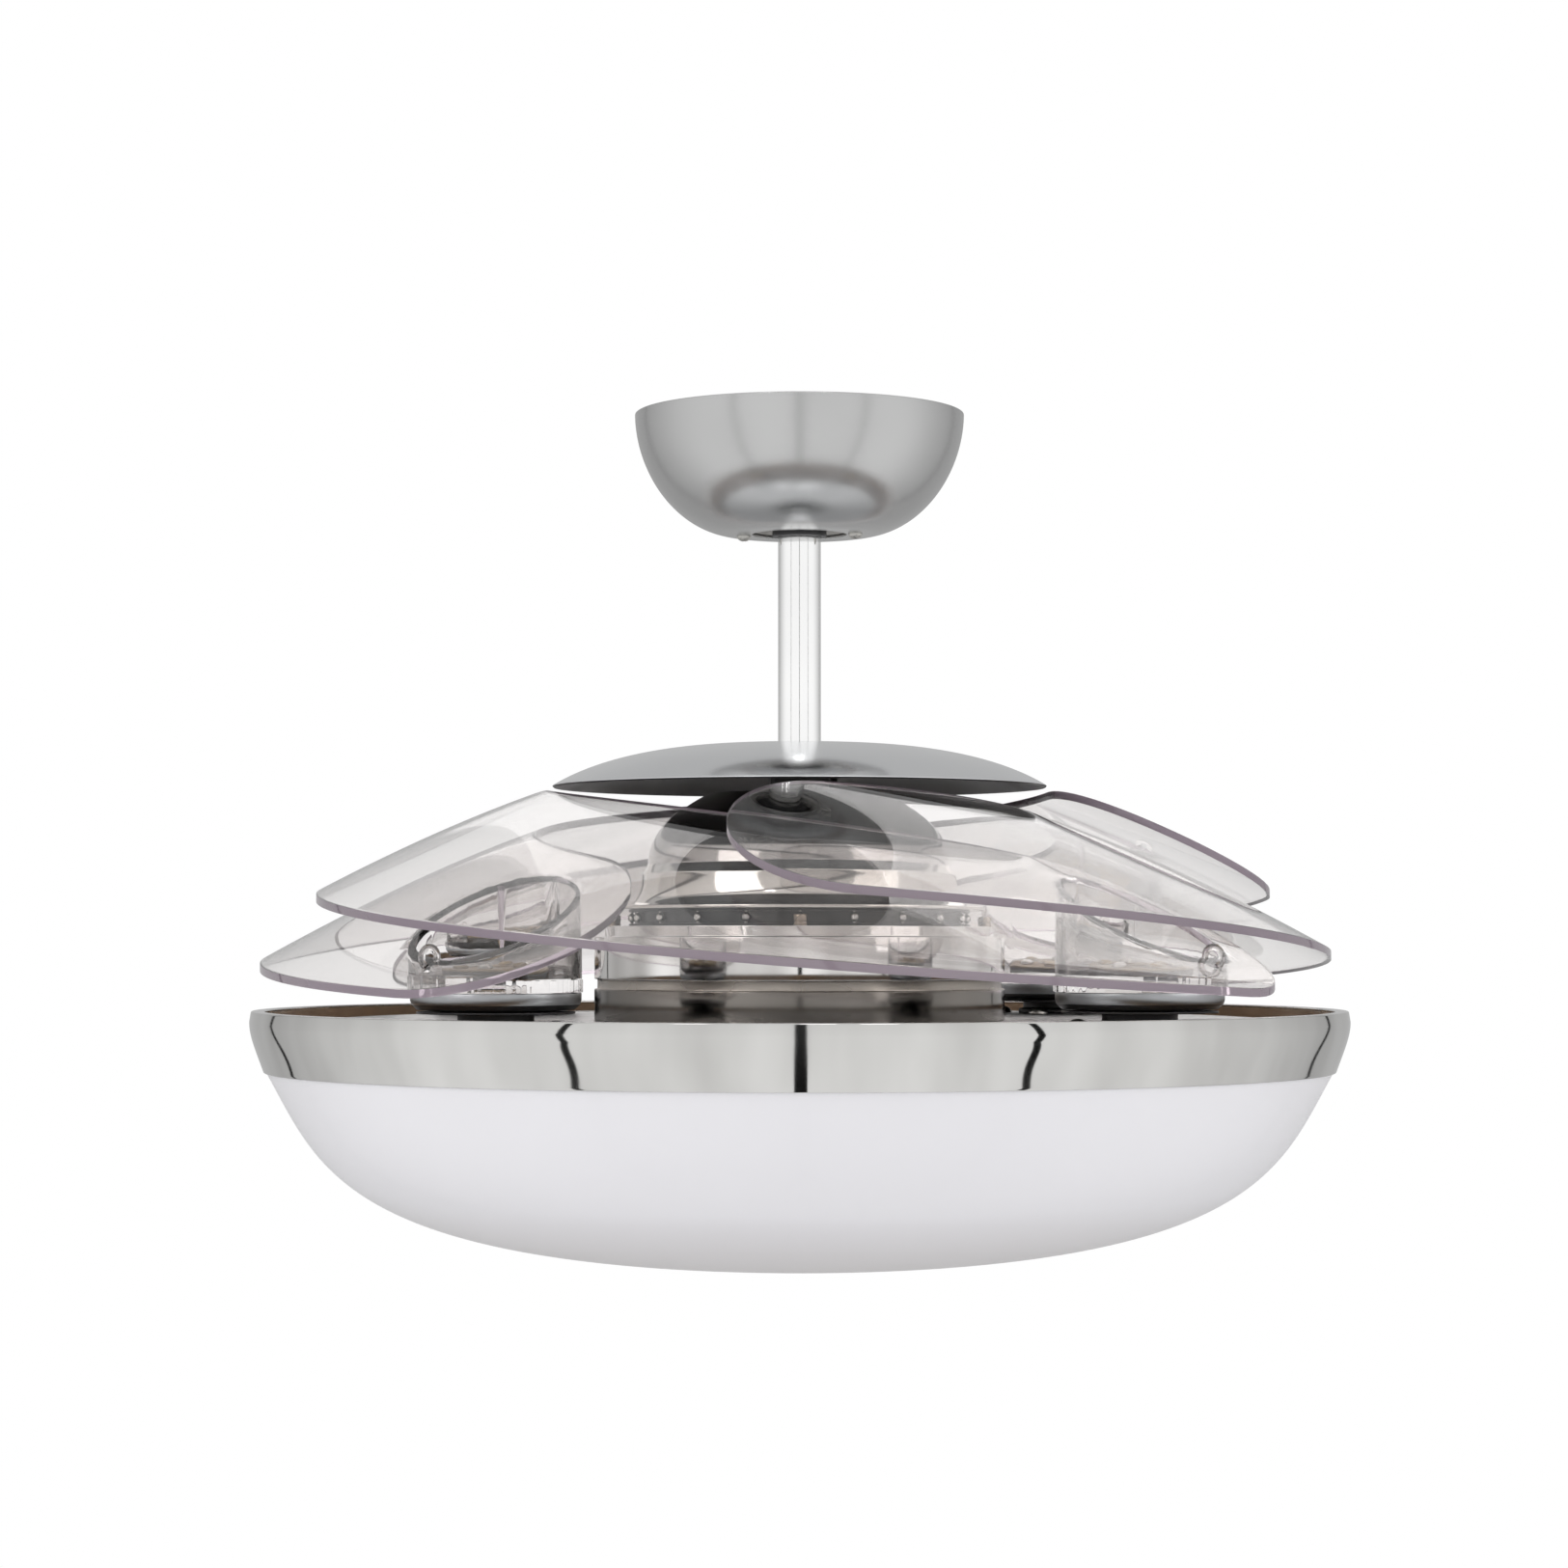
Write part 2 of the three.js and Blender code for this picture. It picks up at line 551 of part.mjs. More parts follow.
add('bell', makeBell(), chrome);
add('vent_ring', makeVentRing(), darkSteel);
add('drum', makeDrum(), chrome);
add('stator', makeStator(), darkSteel);
for (let i = 0; i < 4; i += 1) {
  const screw = add(`housing_screw_${i + 1}`, makeHousingScrew(), chrome);
  const [x, y] = polar(HOUSING_SCREW_R, (i * Math.PI) / 2);
  screw.position.set(x, y, DRUM_TOP);
}
add('upper_bearing', makeBearing(DRUM_TOP - BEARING_H), zincSteel);
add('lower_bearing', makeBearing(CARRIER_BOTTOM - CARRIER_BOSS_H + 1), zincSteel);

// ---- Blade carrier, posts and gears ---------------------------------------------------------------
const pivotAngle = (i) => rad(FIRST_PIVOT_DEG + (360 / BLADE_COUNT) * i);

// One plate under the drum carries every pivot.
function makeCarrier() {
  const bore = boreR(BEARING_R, RUN_GAP, ROUND.medium);
  let carrier = tube(CARRIER_R, bore, CARRIER_BOTTOM, CARRIER_TOP, ROUND.rim);
  for (let i = 0; i < BLADE_COUNT; i += 1) {
    const [x, y] = polar(PIVOT_R, pivotAngle(i));
    const hole = boreR(SPINDLE_R, RUN_GAP, ROUND.small);
    carrier = carrier.subtract(rod(hole, CARRIER_BOTTOM - 1, CARRIER_TOP + 1, ROUND.small, x, y));
  }
  return carrier;
}

// Boss welded under the plate: it holds the lower bearing, and the sun gear turns on it.
function makeCarrierBoss() {
  const bore = boreR(BEARING_R, RUN_GAP, ROUND.medium);
  return tube(CARRIER_BOSS_R, bore, BOSS_END, CARRIER_BOTTOM, ROUND.medium);
}

function makePost() {
  const bore = boreR(SPINDLE_R, RUN_GAP, ROUND.small);
  return tube(POST_R, bore, CARRIER_TOP, POST_TOP, ROUND.small);
}

// One involute flank at a given radius: the half angle of the tooth there.
function halfToothAngle(pitchR, teeth, r) {
  const involute = (angle) => Math.tan(angle) - angle;
  const baseR = pitchR * Math.cos(PRESSURE_ANGLE);
  const atR = Math.acos(Math.min(1, baseR / Math.max(r, baseR)));
  const halfAtPitch = Math.PI / (2 * teeth) - BACKLASH / (4 * pitchR);
  return halfAtPitch + involute(PRESSURE_ANGLE) - involute(atR);
}

// Outline points of one tooth from its first root to its last, centred on an angle.
function toothPoints(pitchR, teeth, centre) {
  const rootR = pitchR - DEDENDUM * GEAR_MODULE;
  const tipR = pitchR + ADDENDUM * GEAR_MODULE;
  const radii = [rootR, pitchR, tipR];
  const rising = radii.map((r) => [r, centre - halfToothAngle(pitchR, teeth, r)]);
  const falling = [...radii].reverse().map((r) => [r, centre + halfToothAngle(pitchR, teeth, r)]);
  return [...rising, ...falling].map(([r, a]) => new THREE.Vector2(...polar(r, a)));
}

// Planet: teeth only where the fold brings them to the sun, which lies at angle pi.
function makePlanet() {
  const pitch = (2 * Math.PI) / PLANET_TEETH;
  const count = Math.ceil(rad(FOLD_DEG) / pitch) + 1;
  const first = Math.PI + pitch / 2 - pitch * (count - 1);
  const outline = [];
  for (let i = 0; i < count; i += 1) {
    outline.push(...toothPoints(PLANET_PITCH_R, PLANET_TEETH, first + pitch * i));
  }
  const backR = PLANET_PITCH_R - DEDENDUM * GEAR_MODULE;
  const backFrom = first + pitch * (count - 1) + pitch * 0.6;
  const backTo = first + 2 * Math.PI - pitch * 0.6;
  const backSteps = 4;
  for (let i = 0; i <= backSteps; i += 1) {
    outline.push(new THREE.Vector2(...polar(backR, backFrom + ((backTo - backFrom) * i) / backSteps)));
  }
  const bore = boreR(SPINDLE_R, RUN_GAP, ROUND.small);
  return plate(new THREE.Shape(outline), GEAR_BOTTOM, GEAR_TOP)
    .subtract(rod(bore, GEAR_BOTTOM - 1, GEAR_TOP + 1, ROUND.small));
}

// Sun: a hub, one arm to each blade and a toothed sector at its end.
function makeSun() {
  const ratio = PLANET_TEETH / SUN_TEETH;
  const pitch = (2 * Math.PI) / SUN_TEETH;
  const first = -1;
  const last = Math.ceil((rad(FOLD_DEG) * ratio) / pitch);
  const rootR = SUN_PITCH_R - DEDENDUM * GEAR_MODULE;
  const hubR = CARRIER_BOSS_R + SUN_HUB_WALL;
  let sun = tube(hubR, boreR(CARRIER_BOSS_R, RUN_GAP, ROUND.medium), GEAR_BOTTOM, GEAR_TOP, ROUND.medium);
  for (let blade = 0; blade < BLADE_COUNT; blade += 1) {
    const outline = [];
    for (let i = first; i <= last; i += 1) {
      outline.push(...toothPoints(SUN_PITCH_R, SUN_TEETH, pivotAngle(blade) + pitch * i));
    }
    const from = pivotAngle(blade) + pitch * (last + 0.4);
    const to = pivotAngle(blade) + pitch * (first - 0.4);
    for (let i = 0; i <= 5; i += 1) {
      outline.push(new THREE.Vector2(...polar(rootR - SUN_RIM_W, from + ((to - from) * i) / 5)));
    }
    sun = sun.add(plate(new THREE.Shape(outline), GEAR_BOTTOM, GEAR_TOP));
    const armLength = rootR - SUN_RIM_W / 2 - hubR + 3;
    const arm = new THREE.BoxGeometry(armLength, SUN_ARM_W, GEAR_T)
      .translate(hubR - 3 + armLength / 2, 0, (GEAR_BOTTOM + GEAR_TOP) / 2)
      .rotateZ((from + to) / 2);
    sun = sun.add(solidFrom(arm));
  }
  return sun;
}

add('carrier_plate', makeCarrier(), brushedMetal);
add('carrier_boss', makeCarrierBoss(), brushedMetal);
add('sun_gear', makeSun(), whiteNylon);
const retainer = tube(CARRIER_BOSS_R + RETAINER_LAP, BEARING_R, RETAINER_BOTTOM, BOSS_END, ROUND.medium);
add('gear_retainer', retainer, zincSteel);

// ---- Blades ------------------------------------------------------------------------------------
// In a blade's own plan, x runs from the axis to its pivot and y runs clockwise from there, along
// the folded blade. Round root and round tip are joined by an outer and an inner arc.
const rootRound = { x: PIVOT_R, y: 0, r: ROOT_ROUND_R };
const [tipX, tipY] = polar(TIP_AT_R, rad(TIP_AT_DEG));
const tipRound = { x: tipX, y: tipY, r: TIP_ROUND_R };

// Centre of the edge arc that touches both rounds, from inside (sign -1) or outside (sign +1).
function edgeArc(radius, sign) {
  const toRoot = radius + sign * rootRound.r;
  const toTip = radius + sign * tipRound.r;
  const dx = tipRound.x - rootRound.x;
  const dy = tipRound.y - rootRound.y;
  const apart = Math.hypot(dx, dy);
  const along = (toRoot ** 2 - toTip ** 2 + apart ** 2) / (2 * apart);
  const aside = Math.sqrt(toRoot ** 2 - along ** 2);
  return {
    x: rootRound.x + (dx * along - dy * aside) / apart,
    y: rootRound.y + (dy * along + dx * aside) / apart,
    r: radius,
  };
}
const outerArc = edgeArc(OUTER_EDGE_R, -1);
const innerArc = edgeArc(INNER_EDGE_R, 1);

// Angle round the axis at which a round touches an edge arc.
function touchAngle(round, arc, sign) {
  const dx = round.x - arc.x;
  const dy = round.y - arc.y;
  const d = Math.hypot(dx, dy);
  return Math.atan2(round.y - (sign * dy * round.r) / d, round.x - (sign * dx * round.r) / d);
}

// Distance from the axis to a circle along a ray: its far crossing (side +1) or near one (-1).
function crossing(circle, psi, side) {
  const d = Math.hypot(circle.x, circle.y);
  const turn = psi - Math.atan2(circle.y, circle.x);
  return d * Math.cos(turn) + side * Math.sqrt(Math.max(0, circle.r ** 2 - (d * Math.sin(turn)) ** 2));
}

const psiStart = -Math.asin(ROOT_ROUND_R / PIVOT_R);
const psiEnd = rad(TIP_AT_DEG) + Math.asin(TIP_ROUND_R / TIP_AT_R);
const outerTouch = [touchAngle(rootRound, outerArc, -1), touchAngle(tipRound, outerArc, -1)];
const innerTouch = [touchAngle(rootRound, innerArc, 1), touchAngle(tipRound, innerArc, 1)];

function outerR(psi) {
  if (psi < outerTouch[0]) return crossing(rootRound, psi, 1);
  return psi > outerTouch[1] ? crossing(tipRound, psi, 1) : crossing(outerArc, psi, 1);
}

function innerR(psi) {
  if (psi < innerTouch[0]) return crossing(rootRound, psi, -1);
  return psi > innerTouch[1] ? crossing(tipRound, psi, -1) : crossing(innerArc, psi, 1);
}

// Height of the panel's top: a shallow dome that climbs along the blade, so that each folded
// blade passes over the root of the next.
const dome = (r) => -DOME_SLOPE * Math.hypot(r, DOME_BEND_R);
function bladeTop(r, psi) {
  const climb = BLADE_RISE_PER_DEG * THREE.MathUtils.radToDeg(psi);
  return BASE_BOTTOM + BLADE_TOP_AT_PIVOT + dome(r) - dome(PIVOT_R) + climb;
}

// Angles of the stations along the blade, closer together round its two ends.
function stations() {
  const list = [];
  const endSteps = 5;
  const rootHalf = -psiStart;
  const tipHalf = psiEnd - rad(TIP_AT_DEG);
  for (let i = 0; i <= endSteps; i += 1) {
    list.push(-rootHalf * Math.cos((i / endSteps) * (Math.PI / 2)));
  }
  const middleSteps = 11;
  for (let i = 1; i < middleSteps; i += 1) list.push((rad(TIP_AT_DEG) * i) / middleSteps);
  for (let i = 0; i <= endSteps; i += 1) {
    list.push(rad(TIP_AT_DEG) + tipHalf * Math.sin((i / endSteps) * (Math.PI / 2)));
  }
  return list;
}

// The plan outline lofted between two surfaces, given as height functions.
function bladeLoft(topOf, bottomOf) {
  const across = 3;
  const positions = [];
  const index = [];
  const rows = [];
  const addPoint = (psi, v) => {
    const r = innerR(psi) + (outerR(psi) - innerR(psi)) * v;
    const [x, y] = polar(r, -psi);
    positions.push(x, y, topOf(r, psi), x, y, bottomOf(r, psi));
    return positions.length / 3 - 2;
  };
  const psis = stations();
  psis.forEach((psi, i) => {
    const single = i === 0 || i === psis.length - 1;
    const row = [];
    const only = single ? addPoint(psi, 0.5) : -1;
    for (let j = 0; j <= across; j += 1) row.push(single ? only : addPoint(psi, j / across));
    rows.push(row);
  });
  const quad = (a, b, c, d) => {
    if (a !== b && b !== c && c !== a) index.push(a, b, c);
    if (a !== c && c !== d && d !== a) index.push(a, c, d);
  };
  for (let i = 0; i + 1 < rows.length; i += 1) {
    const [now, next] = [rows[i], rows[i + 1]];
    for (let j = 0; j < across; j += 1) {
      quad(now[j], next[j], next[j + 1], now[j + 1]);
      quad(now[j + 1] + 1, next[j + 1] + 1, next[j] + 1, now[j] + 1);
    }
    quad(now[0], now[0] + 1, next[0] + 1, next[0]);
    quad(now[across] + 1, now[across], next[across], next[across] + 1);
  }
  const geometry = new THREE.BufferGeometry();
  geometry.setAttribute('position', new THREE.Float32BufferAttribute(positions, 3));
  geometry.setIndex(index);
  return solidFrom(geometry);
}

// Clear blade: panel, and a cup at its root that stands on the pivot's disc.
function makeBlade() {
  const panel = bladeLoft(bladeTop, (r, psi) => bladeTop(r, psi) - BLADE_T);
  const under = bladeLoft(bladeTop, () => BASE_BOTTOM);
  const cup = rod(BLADE_BASE_R, BASE_BOTTOM, CUP_FLOOR + CUP_CUT_H, ROUND.medium, PIVOT_R).intersect(under);
  const inside = rod(BLADE_BASE_R - CUP_WALL, CUP_FLOOR, CUP_FLOOR + CUP_CUT_H, ROUND.medium, PIVOT_R);
  return panel.add(cup).subtract(inside).translate([-PIVOT_R, 0, 0]);
}

// Satin disc under the blade, turned in one piece with the spindle that runs in the post.
function makePivotDisc() {
  const end = GEAR_BOTTOM - TOUCH_GAP;
  return revolve([
    [0, end], [SPINDLE_R, end], [SPINDLE_R, DISC_BOTTOM], [DISC_R - DISC_LIP, DISC_BOTTOM],
    [DISC_R, DISC_BOTTOM + DISC_LIP], [DISC_R, BASE_BOTTOM], [0, BASE_BOTTOM],
  ], ROUND.medium);
}

// Washer plate inside the cup that clamps the blade to its disc.
function makeClamp() {
  return rod(CLAMP_R, CUP_FLOOR, CUP_FLOOR + CLAMP_T, ROUND.medium);
}

for (let i = 0; i < BLADE_COUNT; i += 1) {
  const pivot = new THREE.Group();
  const [x, y] = polar(PIVOT_R, pivotAngle(i));
  pivot.position.set(x, y, 0);
  pivot.rotation.z = pivotAngle(i);
  root.add(pivot);
  add(`blade_${i + 1}`, makeBlade(), clearPlastic, pivot);
  add(`pivot_disc_${i + 1}`, makePivotDisc(), brushedMetal, pivot);
  add(`pivot_post_${i + 1}`, makePost(), brushedMetal, pivot);
  add(`clamp_plate_${i + 1}`, makeClamp(), brassScrew, pivot);
  add(`planet_gear_${i + 1}`, makePlanet(), whiteNylon, pivot);
}

// ---- Light: pan, rim band, lamp plate and bowl ------------------------------------------------------
// Flat round floor, clamped between the shaft's flange and its nut.
function makePan() {
  const sideR = RIM_R - RIM_WALL - PAN_SIDE_GAP;
  return tube(sideR - PAN_WALL, boreR(SHAFT_R, RUN_GAP, ROUND.rim), PAN_BOTTOM, PAN_FLOOR, ROUND.rim);
}

// Upright ring on the floor's edge; the rim band hangs on its outward lip.
function makePanWall() {
  const sideR = RIM_R - RIM_WALL - PAN_SIDE_GAP;
  const footR = sideR - PAN_WALL - PAN_FOOT_W;
  const lipTop = RIM_TOP - RIM_WALL;
  return revolve([
    [footR, PAN_FLOOR], [sideR - PAN_WALL, PAN_FLOOR], [sideR - PAN_WALL, lipTop - PAN_WALL],
    [sideR, lipTop - PAN_WALL], [sideR, lipTop], [sideR - 2 * PAN_WALL, lipTop],
    [sideR - 2 * PAN_WALL, PAN_FLOOR + PAN_WALL], [footR, PAN_FLOOR + PAN_WALL],
  ], ROUND.rim);
}

// Bright band: rolled top over the pan's lip, curved side, and a small inward foot for the bowl.
function makeRimBand() {
  const lipIn = RIM_R - RIM_WALL - PAN_SIDE_GAP - 2 * PAN_WALL;
  const insideR = RIM_R - RIM_WALL;
  const upperZ = RIM_TOP - 8;
  const lowerZ = RIM_TOP - 18;
  return revolve([
    [lipIn, RIM_TOP - RIM_WALL], [lipIn, RIM_TOP], [RIM_R - 2, RIM_TOP], [RIM_R, RIM_TOP - 2],
    [RIM_R, upperZ], [RIM_R - 3, lowerZ], [RIM_FOOT_R, RIM_FOOT], [RIM_LIP_R, RIM_FOOT],
    [RIM_LIP_R, RIM_FOOT + RIM_WALL], [RIM_FOOT_R - 0.8, RIM_FOOT + RIM_WALL],
    [insideR - 3, lowerZ], [insideR, upperZ], [insideR, RIM_TOP - RIM_WALL],
  ], ROUND.rim);
}

// Opal bowl: its flange rests on the band's foot, its side turns gently into a shallow bottom.
function bowlCurve(inset, steps) {
  const r = RIM_LIP_R - TOUCH_GAP - inset;
  const low = BOWL_BOTTOM + inset;
  const steep = [r - BOWL_STRAIGHT * BOWL_LEAN, RIM_FOOT - BOWL_STRAIGHT];
  return curvePoints([r, RIM_FOOT], steep, [BOWL_FLAT - inset, low], [0, low], steps);
}

function makeBowl() {
  const outerR0 = RIM_LIP_R - TOUCH_GAP;
  const flangeR = RIM_FOOT_R - 1.2;
  const flangeLow = RIM_FOOT + RIM_WALL;
  const neckTop = RIM_FOOT + BOWL_NECK_H;
  return revolve([
    ...bowlCurve(0, 8), ...bowlCurve(BOWL_WALL, 6).reverse(), [outerR0 - BOWL_WALL, neckTop],
    [flangeR, neckTop], [flangeR, flangeLow], [outerR0, flangeLow],
  ], ROUND.rim);
}

// Lamp plate on four short posts under the pan.
function makeLightPlate() {
  const high = PAN_BOTTOM - LIGHT_PLATE_DROP;
  let light = tube(LIGHT_PLATE_R, NUT_R + 3, high - LIGHT_PLATE_T, high, ROUND.medium);
  for (let i = 0; i < 4; i += 1) {
    const [x, y] = polar(LIGHT_PLATE_R * 0.8, rad(45 + 90 * i));
    light = light.add(rod(LIGHT_POST_R, high - LIGHT_PLATE_T / 2, PAN_BOTTOM, ROUND.tiny, x, y));
  }
  return light;
}

function makeNut() {
  return tube(NUT_R, boreR(SHAFT_R, RUN_GAP, 6), PAN_BOTTOM - NUT_H, PAN_BOTTOM, 6);
}

add('pan', makePan(), beigePaint);
add('pan_wall', makePanWall(), beigePaint);
add('shaft_nut', makeNut(), zincSteel);
add('rim_band', makeRimBand(), chrome);
add('light_plate', makeLightPlate(), whiteNylon);
add('bowl', makeBowl(), opalGlass);

export default root;
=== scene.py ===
import math

import bmesh
import bpy
from mathutils import Matrix, Vector


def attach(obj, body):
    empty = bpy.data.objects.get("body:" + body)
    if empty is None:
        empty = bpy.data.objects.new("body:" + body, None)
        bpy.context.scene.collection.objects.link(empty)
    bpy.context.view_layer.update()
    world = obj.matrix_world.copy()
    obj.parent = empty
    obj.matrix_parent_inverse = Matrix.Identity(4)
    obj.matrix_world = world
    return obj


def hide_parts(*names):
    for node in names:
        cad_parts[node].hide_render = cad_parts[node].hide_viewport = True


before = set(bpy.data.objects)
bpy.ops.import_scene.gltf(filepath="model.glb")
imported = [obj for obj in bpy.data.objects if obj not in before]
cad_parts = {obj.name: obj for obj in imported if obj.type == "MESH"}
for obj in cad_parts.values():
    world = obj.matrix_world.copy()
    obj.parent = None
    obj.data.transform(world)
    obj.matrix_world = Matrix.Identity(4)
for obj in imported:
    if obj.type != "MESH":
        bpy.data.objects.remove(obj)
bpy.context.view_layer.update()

# ---- Studio ------------------------------------------------------------------------------------
# The fan hangs in a plain white room. The camera stands level with the motor, 1.8 m away, and
# looks slightly up. Soft lamps light it from both sides and from behind. Dark strips and small
# bright cards, which only shiny surfaces see, give the polished metal its streaks.
MM = 0.001
PHOTO_SIDE_PX = 1625
FOCAL_PX = 3800
EYE = Vector((-7.7, -1821, -257.3)) * MM
LOOK_UP = math.radians(2.3)
FLOOR_DROP = -0.95
FLOOR_SIZE = 16
FLOOR_GREY = 0.9
BACK_WALL_GREY = 0.5
ROOM_GREYS = ((0.5, 1.0), (0.66, 0.95), (0.8, 0.9))
CEILING_GREY = 0.88
WHITE = (1, 1, 1, 1)
SENSOR_MM = 36
MIDDLE_HEIGHT = -0.3
FAN_MIDDLE = Vector((0, 0, MIDDLE_HEIGHT))
CARD_TAPER = 0.2
STRIP_AT = 2.5
STRIP_START = 0.3
STRIP_HEIGHT = 3.0
STRIP_GREY = 0.01


def joined(tree, start, socket, end, target):
    tree.links.new(start.outputs[socket], end.inputs[target])


def seen_by(tree, kinds):
    """1 for rays of the given kinds, else 0."""
    path = tree.nodes.new("ShaderNodeLightPath")
    last = path.outputs[f"Is {kinds[0]} Ray"]
    for kind in kinds[1:]:
        either = tree.nodes.new("ShaderNodeMath")
        either.operation = "MAXIMUM"
        tree.links.new(last, either.inputs[0])
        joined(tree, path, f"Is {kind} Ray", either, 1)
        last = either.outputs[0]
    return last


def darker_behind(tree, socket):
    """1 in front of the fan and beside it, falling to the back wall's grey behind it."""
    place = tree.nodes.new("ShaderNodeTexCoord")
    level = tree.nodes.new("ShaderNodeVectorMath")
    level.operation = "MULTIPLY"
    level.inputs[1].default_value = (1, 1, 0)
    joined(tree, place, socket, level, 0)
    heading = tree.nodes.new("ShaderNodeVectorMath")
    heading.operation = "NORMALIZE"
    joined(tree, level, "Vector", heading, 0)
    split = tree.nodes.new("ShaderNodeSeparateXYZ")
    joined(tree, heading, "Vector", split, "Vector")
    fall = tree.nodes.new("ShaderNodeMapRange")
    fall.interpolation_type = "SMOOTHSTEP"
    fall.inputs["From Min"].default_value = -0.35
    fall.inputs["From Max"].default_value = 0.95
    fall.inputs["To Min"].default_value = 1
    fall.inputs["To Max"].default_value = BACK_WALL_GREY
    joined(tree, split, "Y", fall, "Value")
    return fall.outputs["Result"]


def make_room():
    """White to the camera and through clear plastic; to all else it darkens upwards and behind."""
    world = bpy.data.worlds.new("room")
    bpy.context.scene.world = world
    world.use_nodes = True
    tree = world.node_tree
    tree.nodes.clear()
    place = tree.nodes.new("ShaderNodeTexCoord")
    height = tree.nodes.new("ShaderNodeSeparateXYZ")
    ramp = tree.nodes.new("ShaderNodeValToRGB")
    lift = tree.nodes.new("ShaderNodeMapRange")
    lift.inputs["From Min"].default_value = -1
    stops = ramp.color_ramp.elements
    stops[0].position, stops[0].color = 0.0, WHITE
    stops[1].position, stops[1].color = 1.0, (CEILING_GREY, CEILING_GREY, CEILING_GREY, 1)
    for position, grey in ROOM_GREYS:
        stop = stops.new(position)
        stop.color = (grey, grey, grey, 1)
    joined(tree, place, "Generated", height, "Vector")
    joined(tree, height, "Z", lift, "Value")
    joined(tree, lift, "Result", ramp, "Fac")
    air = tree.nodes.new("ShaderNodeBackground")
    joined(tree, ramp, "Color", air, "Color")
    tree.links.new(darker_behind(tree, "Generated"), air.inputs["Strength"])
    white = tree.nodes.new("ShaderNodeBackground")
    white.inputs["Color"].default_value = WHITE
    both = tree.nodes.new("ShaderNodeMixShader")
    tree.links.new(seen_by(tree, ["Camera", "Transmission"]), both.inputs[0])
    joined(tree, air, 0, both, 1)
    joined(tree, white, 0, both, 2)
    out = tree.nodes.new("ShaderNodeOutputWorld")
    joined(tree, both, 0, out, "Surface")


def make_floor():
    """A floor that lights like white paper, mirrors like the room and is open from below."""
    finish = bpy.data.materials.new("white_floor")
    finish.use_nodes = True
    tree = finish.node_tree
    tree.nodes.clear()
    matt = tree.nodes.new("ShaderNodeBsdfDiffuse")
    matt.inputs["Color"].default_value = (FLOOR_GREY, FLOOR_GREY, FLOOR_GREY, 1)
    mirrored = tree.nodes.new("ShaderNodeEmission")
    mirrored.inputs["Color"].default_value = WHITE
    tree.links.new(darker_behind(tree, "Object"), mirrored.inputs["Strength"])
    glow = tree.nodes.new("ShaderNodeEmission")
    glow.inputs["Color"].default_value = WHITE
    unlit = tree.nodes.new("ShaderNodeMixShader")
    tree.links.new(seen_by(tree, ["Glossy"]), unlit.inputs[0])
    joined(tree, matt, 0, unlit, 1)
    joined(tree, mirrored, 0, unlit, 2)
    both = tree.nodes.new("ShaderNodeMixShader")
    tree.links.new(seen_by(tree, ["Camera", "Transmission"]), both.inputs[0])
    joined(tree, unlit, 0, both, 1)
    joined(tree, glow, 0, both, 2)
    one_way = tree.nodes.new("ShaderNodeMixShader")
    side = tree.nodes.new("ShaderNodeNewGeometry")
    joined(tree, side, "Backfacing", one_way, 0)
    joined(tree, both, 0, one_way, 1)
    joined(tree, tree.nodes.new("ShaderNodeBsdfTransparent"), 0, one_way, 2)
    out = tree.nodes.new("ShaderNodeOutputMaterial")
    joined(tree, one_way, 0, out, "Surface")
    bpy.ops.mesh.primitive_plane_add(size=FLOOR_SIZE, location=(0, 0, FLOOR_DROP))
    floor = bpy.context.object
    floor.name = "floor"
    floor.data.materials.append(finish)


def card(name, centre, width, height, grey, flat_turn=None):
    """A card that shows only in reflections. It faces the fan, or lies on the floor, where it
    narrows towards the fan."""
    finish = bpy.data.materials.new(name)
    finish.use_nodes = True
    tree = finish.node_tree
    tree.nodes.clear()
    glow = tree.nodes.new("ShaderNodeEmission")
    glow.inputs["Color"].default_value = (min(grey, 1), min(grey, 1), min(grey, 1), 1)
    glow.inputs["Strength"].default_value = max(grey, 1)
    out = tree.nodes.new("ShaderNodeOutputMaterial")
    joined(tree, glow, 0, out, "Surface")
    bpy.ops.mesh.primitive_plane_add(size=1, location=centre)
    board = bpy.context.object
    board.name = name
    board.scale = (width, height, 1)
    if flat_turn is None:
        facing = FAN_MIDDLE - Vector(centre)
        board.rotation_euler = facing.to_track_quat("Z", "Y").to_euler()
    else:
        board.rotation_euler.z = flat_turn
        for corner in board.data.vertices:
            if corner.co.y > 0:
                corner.co.x *= CARD_TAPER
    board.data.materials.append(finish)
    board.visible_camera = False
    board.visible_diffuse = False
    board.visible_transmission = False
    board.visible_shadow = False


def around(angle_from_front, distance, height):
    """A place beside the fan, in metres; the angle is in degrees, counted to the right."""
    turn = math.radians(angle_from_front)
    return (distance * math.sin(turn), -distance * math.cos(turn), height)


def lamp(name, place, size, power):
    light = bpy.data.lights.new(name, "AREA")
    light.size = size
    light.energy = power
    holder = bpy.data.objects.new(name, light)
    holder.location = place
    facing = FAN_MIDDLE - Vector(place)
    holder.rotation_euler = facing.to_track_quat("-Z", "Y").to_euler()
    holder.visible_glossy = False
    bpy.context.scene.collection.objects.link(holder)


def dark_strip(name, turn, width):
    """A dark band up the wall and along the floor, which polished metal shows as a fine line."""
    card(f"{name}_wall", around(turn, STRIP_AT, MIDDLE_HEIGHT), width, STRIP_HEIGHT, STRIP_GREY)
    on_floor = around(turn, STRIP_AT / 2 + STRIP_START / 2, FLOOR_DROP + 0.004)
    card(f"{name}_floor", on_floor, width, STRIP_AT - STRIP_START, STRIP_GREY, math.radians(turn))


